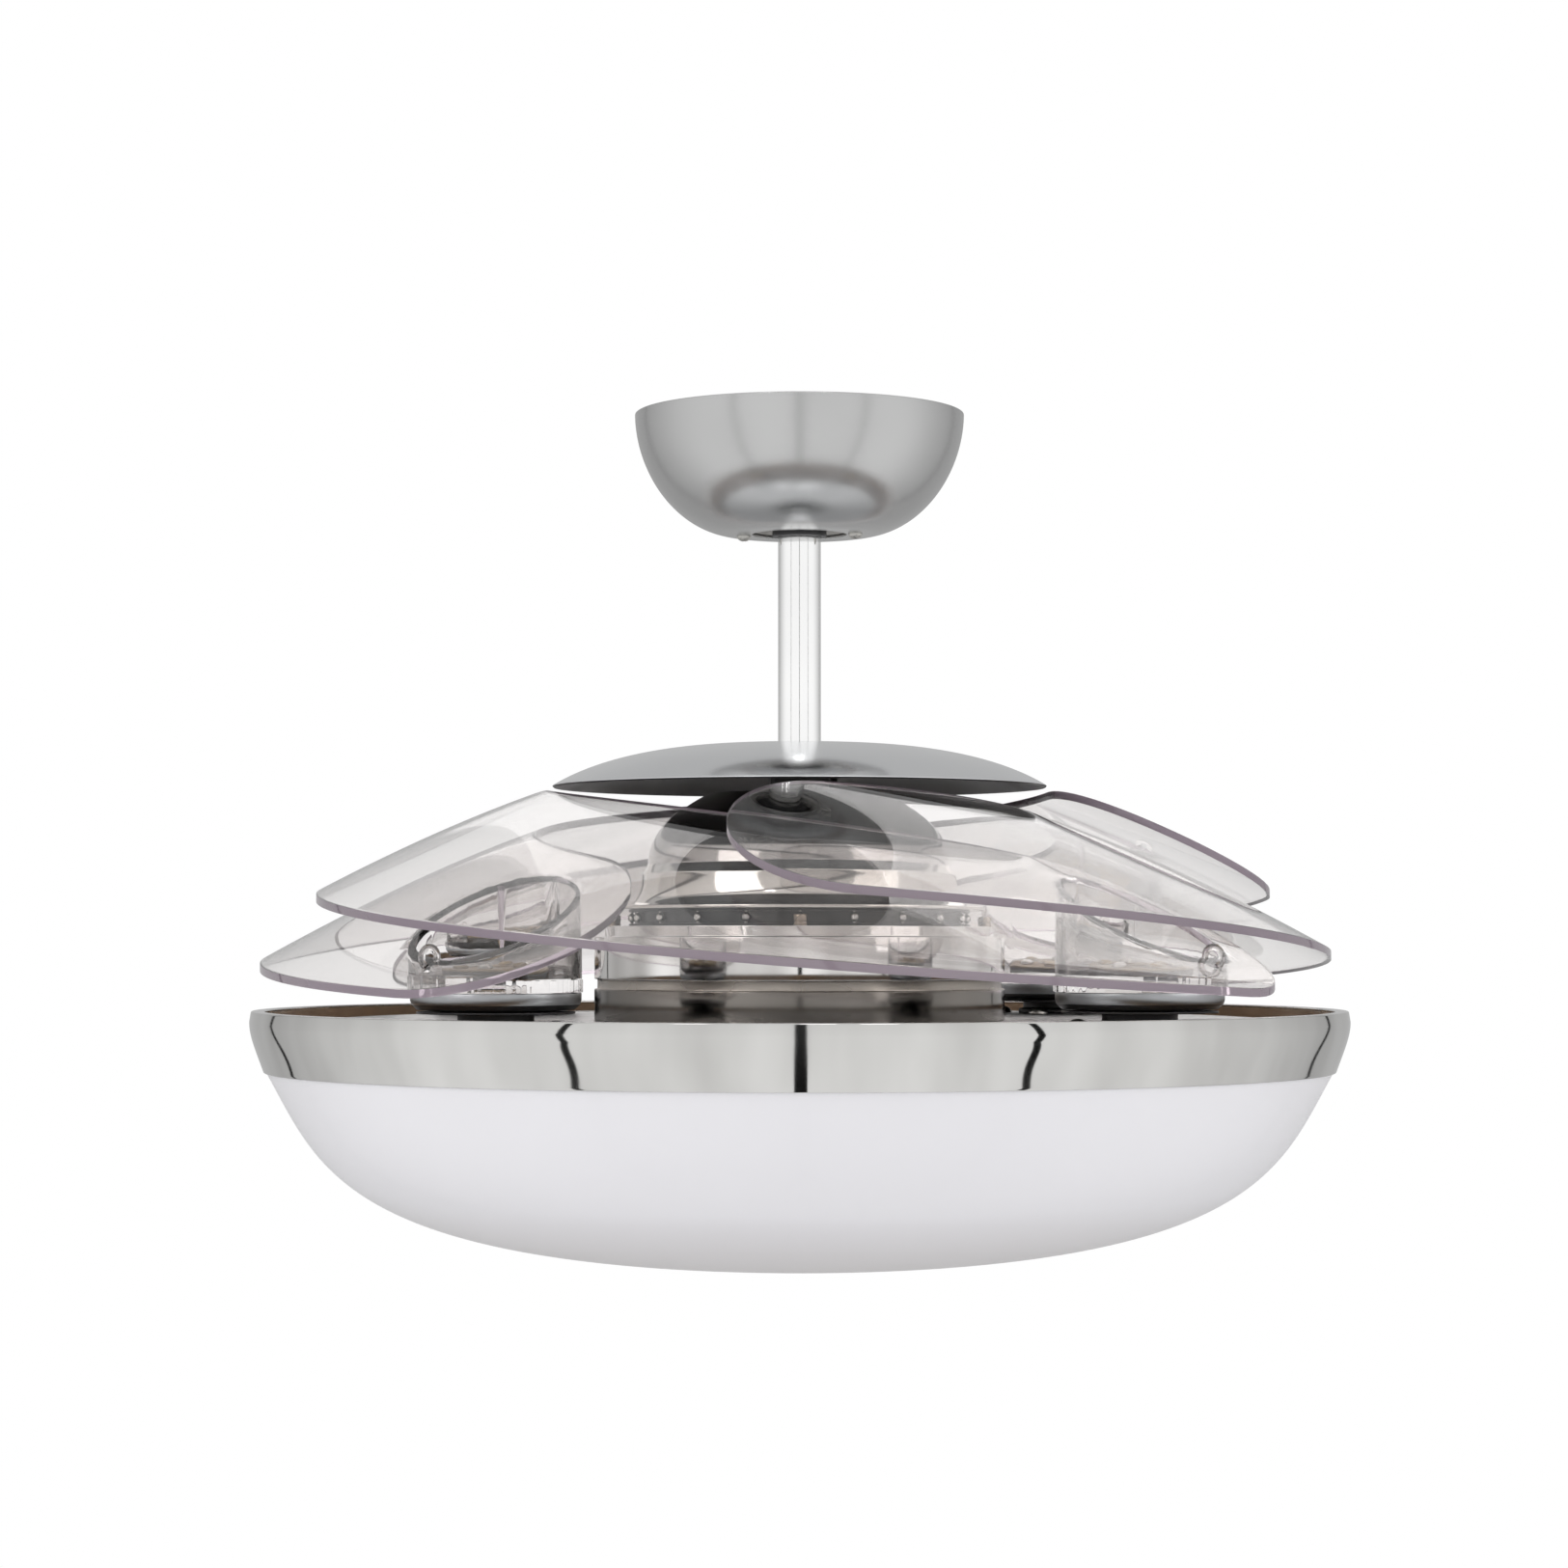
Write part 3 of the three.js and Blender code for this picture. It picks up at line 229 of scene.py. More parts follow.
def make_camera():
    lens = bpy.data.cameras.new("camera")
    lens.sensor_width = SENSOR_MM
    lens.lens = SENSOR_MM * FOCAL_PX / PHOTO_SIDE_PX
    camera = bpy.data.objects.new("camera", lens)
    camera.location = EYE
    camera.rotation_euler = (math.pi / 2 + LOOK_UP, 0, 0)
    bpy.context.scene.collection.objects.link(camera)
    bpy.context.scene.camera = camera


make_room()
make_floor()
make_camera()
lamp("left_softbox", (-1.6, -1.5, 0.7), 1.4, 14)
lamp("right_softbox", (1.8, -1.1, 0.5), 1.4, 10)
lamp("back_softbox", (0.2, 1.8, 0.9), 1.6, 8)
dark_strip("front_strip", 0, 0.1)
for side, word in ((-1, "left"), (1, "right")):
    dark_strip(f"{word}_strip", 46 * side, 0.07)
    dark_strip(f"{word}_far_strip", 134 * side, 0.07)
for number, (turn, height) in enumerate(((-24, 1.15), (4, 1.3), (17, 1.1))):
    card(f"lamp_glint_{number}", around(turn, 1.7, height), 0.24, 0.2, 5)
bpy.context.scene.view_settings.view_transform = "Standard"

# ---- Canopy ------------------------------------------------------------------------------------
# Spun and polished steel bowl over the hanger, screwed to the socket by two dome-head screws.
# It is turned from one profile, flat below and bulging to the ceiling.
CANOPY_R = 82
CANOPY_H = 60
CANOPY_WALL = 1.5
CANOPY_CURVE = 1.9
CANOPY_FLAT_R = 33
CANOPY_HOLE_R = 23.5
CANOPY_STEPS = 48
NO_LENGTH = 1e-6
ALMOST_STRAIGHT = 0.3
LARGEST_CUT = 0.45


def eased(outline, radius, steps=4):
    """Rounds the corners of a closed outline of [radius, height] points."""
    rounded = []
    count = len(outline)
    for i, corner in enumerate(outline):
        here = Vector(corner)
        back = Vector(outline[i - 1]) - here
        ahead = Vector(outline[(i + 1) % count]) - here
        doubled = back.length < NO_LENGTH or ahead.length < NO_LENGTH
        if doubled or math.pi - back.angle(ahead) < ALMOST_STRAIGHT:
            rounded.append(tuple(here))
            continue
        cut = min(radius, back.length * LARGEST_CUT, ahead.length * LARGEST_CUT)
        start = here + back.normalized() * cut
        end = here + ahead.normalized() * cut
        for step in range(steps + 1):
            t = step / steps
            rounded.append(tuple(start * (1 - t) ** 2 + here * 2 * t * (1 - t) + end * t * t))
    return rounded


def mesh_object(name, points, faces, finishes, finish_of_face=None):
    """A smooth-shaded object from points in millimetres, with its doubled points joined."""
    mesh = bpy.data.meshes.new(name)
    mesh.from_pydata([tuple(v * MM for v in p) for p in points], [], faces)
    for finish in finishes:
        mesh.materials.append(finish)
    if finish_of_face:
        mesh.polygons.foreach_set("material_index", finish_of_face)
    shape = bmesh.new()
    shape.from_mesh(mesh)
    bmesh.ops.remove_doubles(shape, verts=shape.verts, dist=1e-7)
    bmesh.ops.recalc_face_normals(shape, faces=shape.faces)
    shape.to_mesh(mesh)
    shape.free()
    mesh.shade_smooth()
    piece = bpy.data.objects.new(name, mesh)
    bpy.context.scene.collection.objects.link(piece)
    return piece


def turned(name, outline, finish, segments=160):
    """Turns a closed outline of [radius, height] points, in millimetres, round the Z axis."""
    points = []
    faces = []
    count = len(outline)
    for turn in range(segments):
        angle = 2 * math.pi * turn / segments
        points += [(r * math.cos(angle), r * math.sin(angle), z) for r, z in outline]
    for turn in range(segments):
        here, beyond = turn * count, (turn + 1) % segments * count
        for i in range(count):
            following = (i + 1) % count
            if outline[i][0] > NO_LENGTH or outline[following][0] > NO_LENGTH:
                faces.append((here + i, beyond + i, beyond + following, here + following))
    return mesh_object(name, points, faces, [finish])


def smudges_and_painted_streaks_group():
    """Soft cloudy marks as a mask and fine scratches as a height, from an object's own place. Where
    a finish stretches the mask and gives it a much darker shade, its marks are painted reflections.
    """
    group = bpy.data.node_groups.new("marks_and_painted_streaks", "ShaderNodeTree")
    face = group.interface
    size = face.new_socket(name="Size", in_out="INPUT", socket_type="NodeSocketFloat")
    size.default_value = 20
    shape = face.new_socket(name="Shape", in_out="INPUT", socket_type="NodeSocketVector")
    shape.default_value = (1, 1, 1)
    face.new_socket(name="Mask", in_out="OUTPUT", socket_type="NodeSocketFloat")
    face.new_socket(name="Height", in_out="OUTPUT", socket_type="NodeSocketFloat")
    inlet = group.nodes.new("NodeGroupInput")
    outlet = group.nodes.new("NodeGroupOutput")
    place = group.nodes.new("ShaderNodeTexCoord")
    cloud = group.nodes.new("ShaderNodeTexNoise")
    cloud.inputs["Detail"].default_value = 2
    cloud.inputs["Roughness"].default_value = 0.4
    drawn_out = group.nodes.new("ShaderNodeMapping")
    joined(group, place, "Object", drawn_out, "Vector")
    joined(group, inlet, "Shape", drawn_out, "Scale")
    joined(group, drawn_out, "Vector", cloud, "Vector")
    joined(group, inlet, "Size", cloud, "Scale")
    spread = group.nodes.new("ShaderNodeMapRange")
    spread.inputs["From Min"].default_value = 0.3
    spread.inputs["From Max"].default_value = 0.7
    joined(group, cloud, "Fac", spread, "Value")
    stretch = group.nodes.new("ShaderNodeMapping")
    stretch.inputs["Scale"].default_value = (30, 30, 900)
    joined(group, place, "Object", stretch, "Vector")
    lines = group.nodes.new("ShaderNodeTexNoise")
    lines.inputs["Scale"].default_value = 1
    lines.inputs["Detail"].default_value = 2
    joined(group, stretch, "Vector", lines, "Vector")
    joined(group, spread, "Result", outlet, "Mask")
    joined(group, lines, "Fac", outlet, "Height")
    return group


marks_and_painted_streaks = smudges_and_painted_streaks_group()


def hard_finish(name, colour, shade, roughness, metallic, marks_size=20, bump=0.0,
                marks_shape=(1, 1, 1)):
    """A metal or plastic whose colour and roughness shift with handling marks; where the shade is
    much darker, the marks in the colour are painted reflections.
    """
    finish = bpy.data.materials.new(name)
    finish.use_nodes = True
    tree = finish.node_tree
    shader = tree.nodes["Principled BSDF"]
    shader.inputs["Metallic"].default_value = metallic
    marks = tree.nodes.new("ShaderNodeGroup")
    marks.node_tree = marks_and_painted_streaks
    marks.inputs["Size"].default_value = marks_size
    marks.inputs["Shape"].default_value = marks_shape
    tint = tree.nodes.new("ShaderNodeMix")
    tint.data_type = "RGBA"
    tint.inputs["A"].default_value = (*colour, 1)
    tint.inputs["B"].default_value = (*shade, 1)
    tree.links.new(marks.outputs["Mask"], tint.inputs["Factor"])
    tree.links.new(tint.outputs["Result"], shader.inputs["Base Color"])
    sheen = tree.nodes.new("ShaderNodeMapRange")
    sheen.inputs["To Min"].default_value = roughness[0]
    sheen.inputs["To Max"].default_value = roughness[1]
    joined(tree, marks, "Mask", sheen, "Value")
    joined(tree, sheen, "Result", shader, "Roughness")
    if bump:
        relief = tree.nodes.new("ShaderNodeBump")
        relief.inputs["Strength"].default_value = bump
        relief.inputs["Distance"].default_value = 0.0002
        joined(tree, marks, "Height", relief, "Height")
        joined(tree, relief, "Normal", shader, "Normal")
    return finish


def canopy_profile(inset):
    """The bulging side from ceiling to flat, as a superellipse; inset gives its inner face."""
    profile = []
    for i in range(CANOPY_STEPS + 1):
        t = i / CANOPY_STEPS * math.pi / 2
        across = max(math.cos(t), 0) ** (2 / CANOPY_CURVE)
        down = math.sin(t) ** (2 / CANOPY_CURVE)
        radius = CANOPY_FLAT_R + (CANOPY_R - inset - CANOPY_FLAT_R) * across
        profile.append((radius, -(CANOPY_H - inset) * down))
    return profile


canopy_metal = hard_finish("canopy_polish", (0.56, 0.562, 0.56), (0.5, 0.502, 0.5),
                           (0.2, 0.26), 1.0, 12)
canopy = turned(
    "canopy_shell",
    eased([*canopy_profile(0), (CANOPY_HOLE_R, -CANOPY_H),
           (CANOPY_HOLE_R, -CANOPY_H + CANOPY_WALL), *canopy_profile(CANOPY_WALL)[::-1]], 0.5),
    canopy_metal)
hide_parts("canopy")
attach(canopy, "ceiling")

# ---- Canopy screws -----------------------------------------------------------------------------
# Nickel-plated dome-head screws, one each side of the canopy's hole. The cross recess is cut
# into each head.
CANOPY_SCREW_AT = 28.3
CANOPY_SCREW_DEG = -12
CANOPY_SCREW_HEAD_R = 3.6
CANOPY_SCREW_HEAD_H = 2.6


def ring_place(radius, angle, z):
    """A point on a ring round the Z axis: from millimetres and radians to metres."""
    return Vector((radius * math.cos(angle), radius * math.sin(angle), z)) * MM


def settle(piece):
    """Turns a piece and its modifiers into a plain mesh."""
    bpy.context.view_layer.update()
    graph = bpy.context.evaluated_depsgraph_get()
    mesh = bpy.data.meshes.new_from_object(piece.evaluated_get(graph))
    piece.modifiers.clear()
    piece.data = mesh


def cross_screw(name, head_r, head_h, finish):
    """A dome head that points down from z = 0, with a cross recess cut into its crown."""
    dome = [(0, -head_h)]
    dome += [(head_r * math.sin(a), -head_h * math.cos(a)) for a in
             (math.radians(d) for d in range(8, 91, 8))]
    dome += [(head_r, 0), (0, 0)]
    head = turned(name, dome, finish, 40)
    for turn in (0, math.pi / 2):
        bpy.ops.mesh.primitive_cube_add(size=1, location=(0, 0, -head_h * MM))
        slot = bpy.context.object
        slot.scale = (head_r * MM, head_r * 0.2 * MM, head_h * 0.9 * MM)
        slot.rotation_euler.z = turn
        cut = head.modifiers.new("recess", "BOOLEAN")
        cut.object = slot
        cut.operation = "DIFFERENCE"
        settle(head)
        bpy.data.objects.remove(slot)
    return head


screw_nickel = hard_finish("screw_nickel", (0.66, 0.65, 0.62), (0.5, 0.49, 0.46),
                           (0.18, 0.35), 1.0, 60)
for number, turn in ((1, 0), (2, 180)):
    angle = math.radians(CANOPY_SCREW_DEG + turn)
    screw = cross_screw(f"canopy_screw_head_{number}", CANOPY_SCREW_HEAD_R, CANOPY_SCREW_HEAD_H,
                        screw_nickel)
    screw.location = ring_place(CANOPY_SCREW_AT, angle, -CANOPY_H)
    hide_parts(f"canopy_screw_{number}")
    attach(screw, "ceiling")

# ---- Hanger bracket ----------------------------------------------------------------------------
# Pressed steel, zinc plated and dull, hidden in the canopy. The frame's own solids of the
# bracket and of the ball pin show.
zinc = hard_finish("zinc_plate", (0.6, 0.59, 0.56), (0.48, 0.47, 0.45), (0.35, 0.55), 1.0, 40, 0.2)


def dress(node, finish):
    """Gives a finish to one of the frame's own solids."""
    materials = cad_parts[node].data.materials
    materials.clear()
    materials.append(finish)


dress("hanger_bracket", zinc)
dress("ball_pin", zinc)

# ---- Hanger ball and liner ---------------------------------------------------------------------
# Black moulded ball that rests in the socket and clamps the rod. The white nylon liner between
# them is the frame's own solid.
BALL_R = 24
BALL_Z = -38
BALL_CROWN = BALL_Z + 20
COLLAR_LOW = BALL_Z - 23
COLLAR_R = 13.5
BORE_R = 10.85
BALL_FROM = 34.2
BALL_TO = 146.4
BALL_STEPS = 40
black_moulding = hard_finish("black_moulding", (0.018, 0.018, 0.02), (0.03, 0.03, 0.032),
                             (0.3, 0.45), 0.0, 50)
nylon = hard_finish("white_nylon", (0.78, 0.77, 0.73), (0.72, 0.71, 0.67), (0.45, 0.6), 0.0, 60)
ball_angles = [math.radians(BALL_FROM + (BALL_TO - BALL_FROM) * i / BALL_STEPS)
               for i in range(BALL_STEPS + 1)]
ball_arc = [(BALL_R * math.sin(a), BALL_Z - BALL_R * math.cos(a)) for a in ball_angles]
ball = turned(
    "ball",
    eased([(BORE_R, COLLAR_LOW), (COLLAR_R, COLLAR_LOW), *ball_arc, (BORE_R, BALL_CROWN)], 0.8),
    black_moulding, 96)
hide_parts("hanger_ball")
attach(ball, "hanging_frame")
dress("ball_liner", nylon)

# ---- Downrod -----------------------------------------------------------------------------------
# Half-inch steel pipe, chrome plated, from the ball down into the yoke. It is the brightest of
# the polished pieces.
ROD_R = 10.65
ROD_WALL = 1.6
ROD_TOP = -16
ROD_END = -190
rod_chrome = hard_finish("rod_chrome", (0.95, 0.95, 0.945), (0.9, 0.9, 0.9), (0.06, 0.12), 1.0, 18)
rod = turned(
    "rod_pipe",
    eased([(ROD_R - ROD_WALL, ROD_END), (ROD_R, ROD_END), (ROD_R, ROD_TOP),
           (ROD_R - ROD_WALL, ROD_TOP)], 0.4),
    rod_chrome, 96)
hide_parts("downrod")
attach(rod, "hanging_frame")

# ---- Saucer cover ------------------------------------------------------------------------------
# Thin spun disc that hides the yoke. It is almost flat on top and turns down to a fine edge;
# its downward faces are painted near-black as shade.
SAUCER_TOP = -164.4
SAUCER_HOLE_R = 10.9
SAUCER_FLAT_R = 23
SAUCER_WALL = 1.6
SAUCER_R = 122.7
SAUCER_H = 21
SAUCER_BEND = 16


def curve(a, b, c, d, steps):
    """Points of a cubic curve between two [radius, height] points."""
    a, b, c, d = (Vector(p) for p in (a, b, c, d))
    points = []
    for t in (i / steps for i in range(steps + 1)):
        early = a * (1 - t) ** 3 + b * 3 * t * (1 - t) ** 2
        points.append(tuple(early + c * 3 * t * t * (1 - t) + d * t ** 3))
    return points


def saucer_profile(drop, radius, height):
    start = (SAUCER_FLAT_R, SAUCER_TOP - drop)
    end = (radius, SAUCER_TOP - drop - height)
    lean = (radius - SAUCER_BEND, end[1] + SAUCER_BEND * 0.62)
    return curve(start, (radius * 0.62, start[1]), lean, end, 40)


def second_finish(piece, finish, chosen):
    """Gives another finish to the faces that a test of centre and normal chooses."""
    piece.data.materials.append(finish)
    last = len(piece.data.materials) - 1
    for face in piece.data.polygons:
        if chosen(face.center / MM, face.normal):
            face.material_index = last


spun_chrome = hard_finish("spun_chrome", (0.93, 0.94, 0.955), (0.88, 0.89, 0.905),
                          (0.14, 0.2), 1.0, 12)
# Near-black metal used as painted shade on downward faces and in gaps.
painted_shade_metal = hard_finish("painted_shade_metal", (0.03, 0.03, 0.032), (0.05, 0.048, 0.046),
                           (0.3, 0.45), 0.5, 30)
saucer = turned(
    "saucer",
    eased([(SAUCER_HOLE_R, SAUCER_TOP), *saucer_profile(0, SAUCER_R, SAUCER_H),
           *saucer_profile(SAUCER_WALL, SAUCER_R - 0.9, SAUCER_H - 0.6)[::-1],
           (SAUCER_HOLE_R, SAUCER_TOP - SAUCER_WALL)], 0.4, 3),
    spun_chrome, 200)
# Downward faces get the near-black metal: painted shade under the saucer.
second_finish(saucer, painted_shade_metal, lambda centre, normal: normal.z < -0.15)
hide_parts("saucer_cover")
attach(saucer, "hanging_frame")

# ---- Yoke, shaft, stator and bearings ----------------------------------------------------------
# Plain steel working parts between cover and motor, seen only as dark shapes in the gaps. The
# frame's own solids show.
dark_steel = hard_finish("dark_steel", (0.05, 0.05, 0.055), (0.09, 0.088, 0.085),
                         (0.35, 0.55), 0.8, 40, 0.2)
for node in ("yoke", "stator"):
    dress(node, dark_steel)
for node in ("yoke_bolt", "motor_shaft", "upper_bearing", "lower_bearing", "shaft_nut",
             "gear_retainer"):
    dress(node, zinc)

# ---- Motor bell --------------------------------------------------------------------------------
# Pressed and polished top of the motor: flat crown, sloping shoulder, a groove round the waist
# and a flared flange. Large dark brownish patches are painted over the polish as reflections, and
# below the waist the chrome is painted lighter and warmer as a highlight.
BELL_TOP = -188.8
BELL_FOOT = -247.2
BELL_WALL = 1.8
BELL_WAIST = BELL_TOP - 36
BELL_HOLE_R = 20
BELL_R = 92


def bell_profile(inset):
    """Shoulder and flare of the outer face; inset gives the inner one."""
    flange = BELL_FOOT + BELL_WALL - inset
    shoulder = curve((44.8 - inset, BELL_TOP - inset), (53.8 - inset, BELL_TOP - 5 - inset),
                     (75.2 - inset, BELL_WAIST + 20), (75.2 - inset, BELL_WAIST), 30)
    flare = curve((78 - inset, BELL_FOOT + 17.7 - inset), (78.7 - inset, BELL_FOOT + 6),
                  (82.2 - inset, flange), (88 - inset, flange), 20)
    return shoulder + flare


# The marks mask darkens the bell in large brownish patches: painted reflections over the polish.
bell_chrome = hard_finish("bell_chrome", (0.74, 0.715, 0.7), (0.4, 0.375, 0.36),
                          (0.08, 0.14), 1.0, 16)
# Lighter, warmer copy of the bell's chrome: a painted highlight on the flange.
flange_painted_highlight = hard_finish("flange_painted_highlight", (0.78, 0.75, 0.71), (0.62, 0.59, 0.55),
                            (0.08, 0.14), 1.0, 16)
bell = turned(
    "bell_shell",
    eased([(BELL_HOLE_R, BELL_TOP), *bell_profile(0), (BELL_R, BELL_FOOT + BELL_WALL),
           (BELL_R, BELL_FOOT), *[(r, max(z, BELL_FOOT)) for r, z in bell_profile(BELL_WALL)[::-1]],
           (BELL_HOLE_R, BELL_TOP - BELL_WALL)], 0.5, 3),
    bell_chrome, 200)
# Faces below the waist take the lighter copy: painted highlight.
second_finish(bell, flange_painted_highlight, lambda centre, normal: centre.z < BELL_WAIST)
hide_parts("bell")
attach(bell, "rotor")

# ---- Vent ring ---------------------------------------------------------------------------------
# Dark cage between bell and drum, which lets the motor breathe: two hoops with a thin near-black
# sheet behind them, painted shade for the motor's dark inside, and twenty bright pins that each
# carry a bead.
VENT_R = 84.6
VENT_DEPTH = 3.2
VENT_TOP = -247.2
VENT_LOW = -255.4
VENT_HOOP = 1.2
VENT_PINS = 20
PIN_R = 0.7
BEAD_R = 2
pin_steel = hard_finish("pin_steel", (0.72, 0.71, 0.69), (0.6, 0.59, 0.57), (0.15, 0.3), 1.0, 60)
vent_black = hard_finish("vent_black", (0.012, 0.012, 0.014), (0.03, 0.03, 0.03),
                         (0.3, 0.45), 0.2, 50)


def joined_pieces(name, pieces):
    """Makes one object of several; each keeps its finish."""
    finishes = []
    for piece in pieces:
        for finish in piece.data.materials:
            if finish not in finishes:
                finishes.append(finish)
    shape = bmesh.new()
    for piece in pieces:
        piece.data.transform(piece.matrix_basis)
        own = [finishes.index(finish) for finish in piece.data.materials]
        before = len(shape.faces)
        shape.from_mesh(piece.data)
        shape.faces.ensure_lookup_table()
        for face in shape.faces[before:]:
            face.material_index = own[face.material_index]
    first = pieces[0]
    first.data.materials.clear()
    for finish in finishes:
        first.data.materials.append(finish)
    shape.to_mesh(first.data)
    shape.free()
    for piece in pieces[1:]:
        bpy.data.objects.remove(piece)
    first.matrix_basis = Matrix.Identity(4)
    first.name = name
    first.data.name = name
    return first


def hoop(outer, inner, low, high, finish, ease=0.3, segments=160):
    """A ring round the Z axis with a rectangular section."""
    outline = eased([(inner, low), (outer, low), (outer, high), (inner, high)], ease, 3)
    return turned("hoop", outline, finish, segments)


def vent_pin(angle):
    middle = (VENT_LOW + VENT_TOP) / 2
    outline = [(0, VENT_LOW + 1), (PIN_R, VENT_LOW + 1), (PIN_R, middle - 2.2),
               (BEAD_R, middle - 1.2), (BEAD_R, middle + 1.2), (PIN_R, middle + 2.2),
               (PIN_R, VENT_TOP - 1), (0, VENT_TOP - 1)]
    pin = turned("pin", eased(outline, 0.9, 4), pin_steel, 20)
    pin.location = ring_place(VENT_R - 1.5, angle, 0)
    return pin


vent = joined_pieces("vent_cage", [
    hoop(VENT_R, VENT_R - VENT_DEPTH, VENT_LOW, VENT_LOW + VENT_HOOP, vent_black),
    hoop(VENT_R, VENT_R - VENT_DEPTH, VENT_TOP - VENT_HOOP, VENT_TOP, vent_black),
    # Thin near-black sheet behind the pins: painted shade inside the vent.
    hoop(VENT_R - 3.0, VENT_R - VENT_DEPTH, VENT_LOW + 0.6, VENT_TOP - 0.6, vent_black, 0.05),
    *[vent_pin(math.radians(360 / VENT_PINS * i)) for i in range(VENT_PINS)]])
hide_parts("vent_ring")
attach(vent, "rotor")

# ---- Drum and housing screws -------------------------------------------------------------------
# Polished lower half of the motor, stepped at the top and grooved near the bottom. Dark vertical
# streaks are painted over its polish as reflections; the groove is duller and painted darker as
# shade, and the band below it is painted dark as a reflection. Four tall screw heads stand on its
# top.
DRUM_TOP = -255.4
DRUM_LOW = -301
DRUM_R = 101.6
DRUM_HOLE_R = 14.4
CROWN_R = 96.3
STEP_Z = DRUM_TOP - 5.3
GROOVE_R = 100.1
GROOVE_TOP = DRUM_TOP - 25.4
GROOVE_LOW = DRUM_TOP - 30.2
HOUSING_SCREW_AT = 92
HOUSING_SCREW_R = 3.35
# Stretched marks paint dark vertical streaks: painted reflections on the drum's polish.
drum_chrome = hard_finish("drum_chrome", (0.88, 0.865, 0.85), (0.46, 0.445, 0.43),
                          (0.05, 0.1), 1.0, 22, marks_shape=(1.5, 1.5, 0.1))
# Darker, rougher copy for the groove: painted shade in the recess, with real extra roughness.
groove_painted_shade = hard_finish("groove_painted_shade", (0.4, 0.37, 0.33), (0.34, 0.31, 0.28),
                           (0.2, 0.3), 1.0, 30)
# Dark copy for the band below the groove: a painted reflection.
low_band_painted_reflection = hard_finish("low_band_painted_reflection", (0.26, 0.24, 0.22), (0.13, 0.12, 0.11), (0.1, 0.16), 1.0, 14)
screw_bronze = hard_finish("screw_bronze", (0.45, 0.38, 0.31), (0.33, 0.27, 0.22),
                           (0.2, 0.35), 1.0, 60)
drum = turned(
    "drum_shell",
    eased([(DRUM_HOLE_R, DRUM_TOP), (CROWN_R, DRUM_TOP), (CROWN_R, STEP_Z), (DRUM_R, STEP_Z),
           (DRUM_R, GROOVE_TOP), (GROOVE_R, GROOVE_TOP), (GROOVE_R, GROOVE_LOW),
           (DRUM_R, GROOVE_LOW), (DRUM_R, DRUM_LOW), (98.6, DRUM_LOW), (98.6, DRUM_TOP - 8.3),
           (93.3, DRUM_TOP - 3), (DRUM_HOLE_R, DRUM_TOP - 3)], 0.6, 4),
    drum_chrome, 200)
# The groove and the band below it take the painted shade and painted reflection copies.
second_finish(drum, groove_painted_shade, lambda centre, normal: GROOVE_LOW < centre.z < GROOVE_TOP)
second_finish(drum, low_band_painted_reflection, lambda centre, normal: centre.z < GROOVE_LOW)
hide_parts("drum")
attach(drum, "rotor")
for i in range(4):
    angle = math.pi / 2 * i
    outline = [(0, 0), (HOUSING_SCREW_R, 0), (HOUSING_SCREW_R, 1.4), (3, 1.8),
               (HOUSING_SCREW_R, 2.2), (HOUSING_SCREW_R, 5.2), (1.9, 5.2), (1.9, 3.4), (0, 3.4)]
    head = turned("head", eased(outline, 0.3, 3), screw_bronze, 40)
    head.name = f"housing_screw_head_{i + 1}"
    head.location = ring_place(HOUSING_SCREW_AT, angle, DRUM_TOP)
    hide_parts(f"housing_screw_{i + 1}")
    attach(head, "rotor")

# ---- Carrier plate, posts and gears ------------------------------------------------------------
# Pressed plate under the drum with a post at each pivot, topped by a near-black ring that is
# painted shade in the gap under the disc, and four rivet heads round the post. The nylon gears
# run below it.
PIVOT_R = 208
FIRST_PIVOT = math.radians(48.3)
CARRIER_R = 235
CARRIER_TOP = -301
CARRIER_LOW = -304
BOSS_R = 26
BOSS_LOW = -310.2
POST_TOP = -293.2
POST_R = 17.4
POST_FOOT_R = 19.8
POST_BORE_R = 6.4
SHADE_RING_R = 36
RIVET_R = 5
RIVET_H = 3.5
RIVETS_AT = 30
RIVET_TURN = math.radians(20)
carrier_metal = hard_finish("carrier_satin", (0.5, 0.5, 0.5), (0.42, 0.42, 0.42),
                            (0.25, 0.4), 1.0, 20, 0.15)
carrier = turned(
    "carrier_disc",
    eased([(DRUM_HOLE_R, BOSS_LOW), (BOSS_R, BOSS_LOW), (BOSS_R, CARRIER_LOW),
           (CARRIER_R, CARRIER_LOW), (CARRIER_R, CARRIER_TOP), (DRUM_HOLE_R, CARRIER_TOP)], 0.8, 3),
    carrier_metal, 200)
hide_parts("carrier_plate", "carrier_boss")
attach(carrier, "rotor")
dress("sun_gear", nylon)


def to_pivot(piece, i):
    """Moves a mesh made round the Z axis out to pivot i; its object stays at the origin."""
    angle = FIRST_PIVOT + math.pi / 2 * i
    piece.data.transform(Matrix.Rotation(angle, 4, "Z") @ Matrix.Translation((PIVOT_R * MM, 0, 0)))


